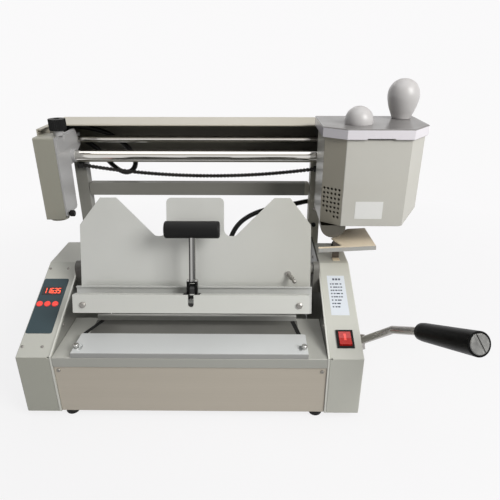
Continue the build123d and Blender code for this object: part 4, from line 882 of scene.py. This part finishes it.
radius, centre, steps = ballKnob["radius"], ballKnob["centre"], ballKnob["steps"]
lowAngle = -math.asin(centre / radius)
angles = [lowAngle + (math.pi / 2 - lowAngle) * k / steps for k in range(steps)]
ballProfile = [(radius * math.cos(angle), centre + radius * math.sin(angle)) for angle in angles]
knob = lidKnob("ballKnob", ballKnob, [(0.0, 0.0), *ballProfile, (0.0, centre + radius)])
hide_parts("ball_knob")

# the egg's foot keeps its corners, and the rest is one smooth line
eggFoot, eggRest = pushKnob["spots"][:pushKnob["footSpots"]], pushKnob["spots"][pushKnob["footSpots"]:]
knob = lidKnob("pushKnob", pushKnob, eggFoot + smoothProfile(eggRest, pushKnob["steps"]))
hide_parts("push_knob")
print("knobs made")

# Smooth shading on the carried pieces, apart from those remade here

for name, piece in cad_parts.items():
    if name not in ("ball_knob", "push_knob", "supply_conduit", "channel_conduit"):
        smoothBelow(piece, creases["carried"])

# Floor and light

studio = {"paper": (0.955, 0.95, 0.955, 1), "floorTone": (0.82, 0.82, 0.82, 1),
          "bounceTone": (0.4, 0.4, 0.39, 1), "fadeFrom": 0.3, "fadeTo": 1.2, "fadeLow": 0.86,
          "reach": 40.0, "gap": 0.2, "fillColour": (0.95, 0.96, 1.0, 1), "fillPower": 0.16}
# by height: white low down, then a dark room with a bright ceiling, which the rods and chrome show
roomStops = ((0.0, studio["paper"]), (0.28, studio["paper"]), (0.33, (0.26, 0.24, 0.21, 1)),
             (0.44, (0.14, 0.13, 0.12, 1)), (0.52, (0.75, 0.66, 0.54, 1)), (0.64, (1.0, 0.99, 0.96, 1)),
             (1.0, (0.9, 0.9, 0.9, 1)))


def seenDirectly(pen):
    # 1 for what the camera sees itself, in a reflection or through glass, and 0 for plain bounced light
    path = pen.node("ShaderNodeLightPath")
    return pen.clamp(Signal(pen, path.outputs["Is Camera Ray"])
                     + Signal(pen, path.outputs["Is Glossy Ray"])
                     + Signal(pen, path.outputs["Is Transmission Ray"]))


floorPen = Pen("paleFloor")
seen = seenDirectly(floorPen)
tone = floorPen.mixColour(seen, studio["bounceTone"], studio["floorTone"])
lit = floorPen.out("ShaderNodeBsdfDiffuse", None, {"Color": tone})
bright = floorPen.out("ShaderNodeEmission", None, {"Color": studio["paper"], "Strength": 1.0})
away = floorPen.out("ShaderNodeVectorMath", {"operation": "LENGTH"}, {0: floorPen.place()}, 1)
fade = floorPen.level(away, studio["fadeFrom"], studio["fadeTo"], studio["fadeLow"], 1.0)
mixed = floorPen.out("ShaderNodeMixShader", None, {0: seen * fade, 1: lit, 2: bright})
floorPen.node("ShaderNodeOutputMaterial", None, {"Surface": mixed})
reach = studio["reach"]
floorCorners = [(-reach, -reach, 0), (reach, -reach, 0), (reach, reach, 0), (-reach, reach, 0)]
floorMesh = bpy.data.meshes.new("studioFloor")
floorMesh.from_pydata(floorCorners, [], [(0, 1, 2, 3)])
floorMesh.materials.append(floorPen.material)
floor = bpy.data.objects.new("studioFloor", floorMesh)
floor.location.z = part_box("rubber_feet")[0].z - mm(studio["gap"])
bpy.context.scene.collection.objects.link(floor)

world = bpy.data.worlds.new("studioWorld")
bpy.context.scene.world = world
world.use_nodes = True
worldPen = Pen("studioWorld", world.node_tree)
seen = seenDirectly(worldPen)
fillInputs = {"Color": studio["fillColour"], "Strength": studio["fillPower"]}
dim = worldPen.out("ShaderNodeBackground", None, fillInputs)
direction = worldPen.out("ShaderNodeTexCoord", None, None, 0)
height = worldPen.out("ShaderNodeSeparateXYZ", None, {"Vector": direction}, 2)
room = worldPen.ramp(height, roomStops)
white = worldPen.out("ShaderNodeBackground", None, {"Color": room, "Strength": 1.0})
mixed = worldPen.out("ShaderNodeMixShader", None, {0: seen, 1: dim, 2: white})
worldPen.node("ShaderNodeOutputWorld", None, {"Surface": mixed})

lamps = {
    "keyLamp": {"place": (1.25, -1.05, 1.3), "target": (0, 0, 0.2), "size": (0.9, 0.9), "power": 34.0,
                "colour": (1.0, 0.995, 0.98)},
    "topLamp": {"place": (-0.1, 0.0, 1.9), "target": (0, 0, 0.2), "size": (1.8, 1.5), "power": 9.0,
                "colour": (1, 1, 1)},
    "backLamp": {"place": (-0.4, 1.7, 1.3), "target": (0, 0, 0.3), "size": (1.2, 0.9), "power": 4.0,
                 "colour": (1, 1, 1)},
}


def softLamp(name, look):
    data = bpy.data.lights.new(name, "AREA")
    data.shape = "RECTANGLE"
    data.size, data.size_y = look["size"]
    data.energy = look["power"]
    data.color = look["colour"]
    lamp = bpy.data.objects.new(name, data)
    lamp.location = look["place"]
    facing = Vector(look["target"]) - Vector(look["place"])
    lamp.rotation_euler = facing.to_track_quat("-Z", "Y").to_euler()
    bpy.context.scene.collection.objects.link(lamp)


for name, look in lamps.items():
    softLamp(name, look)
print("light set")
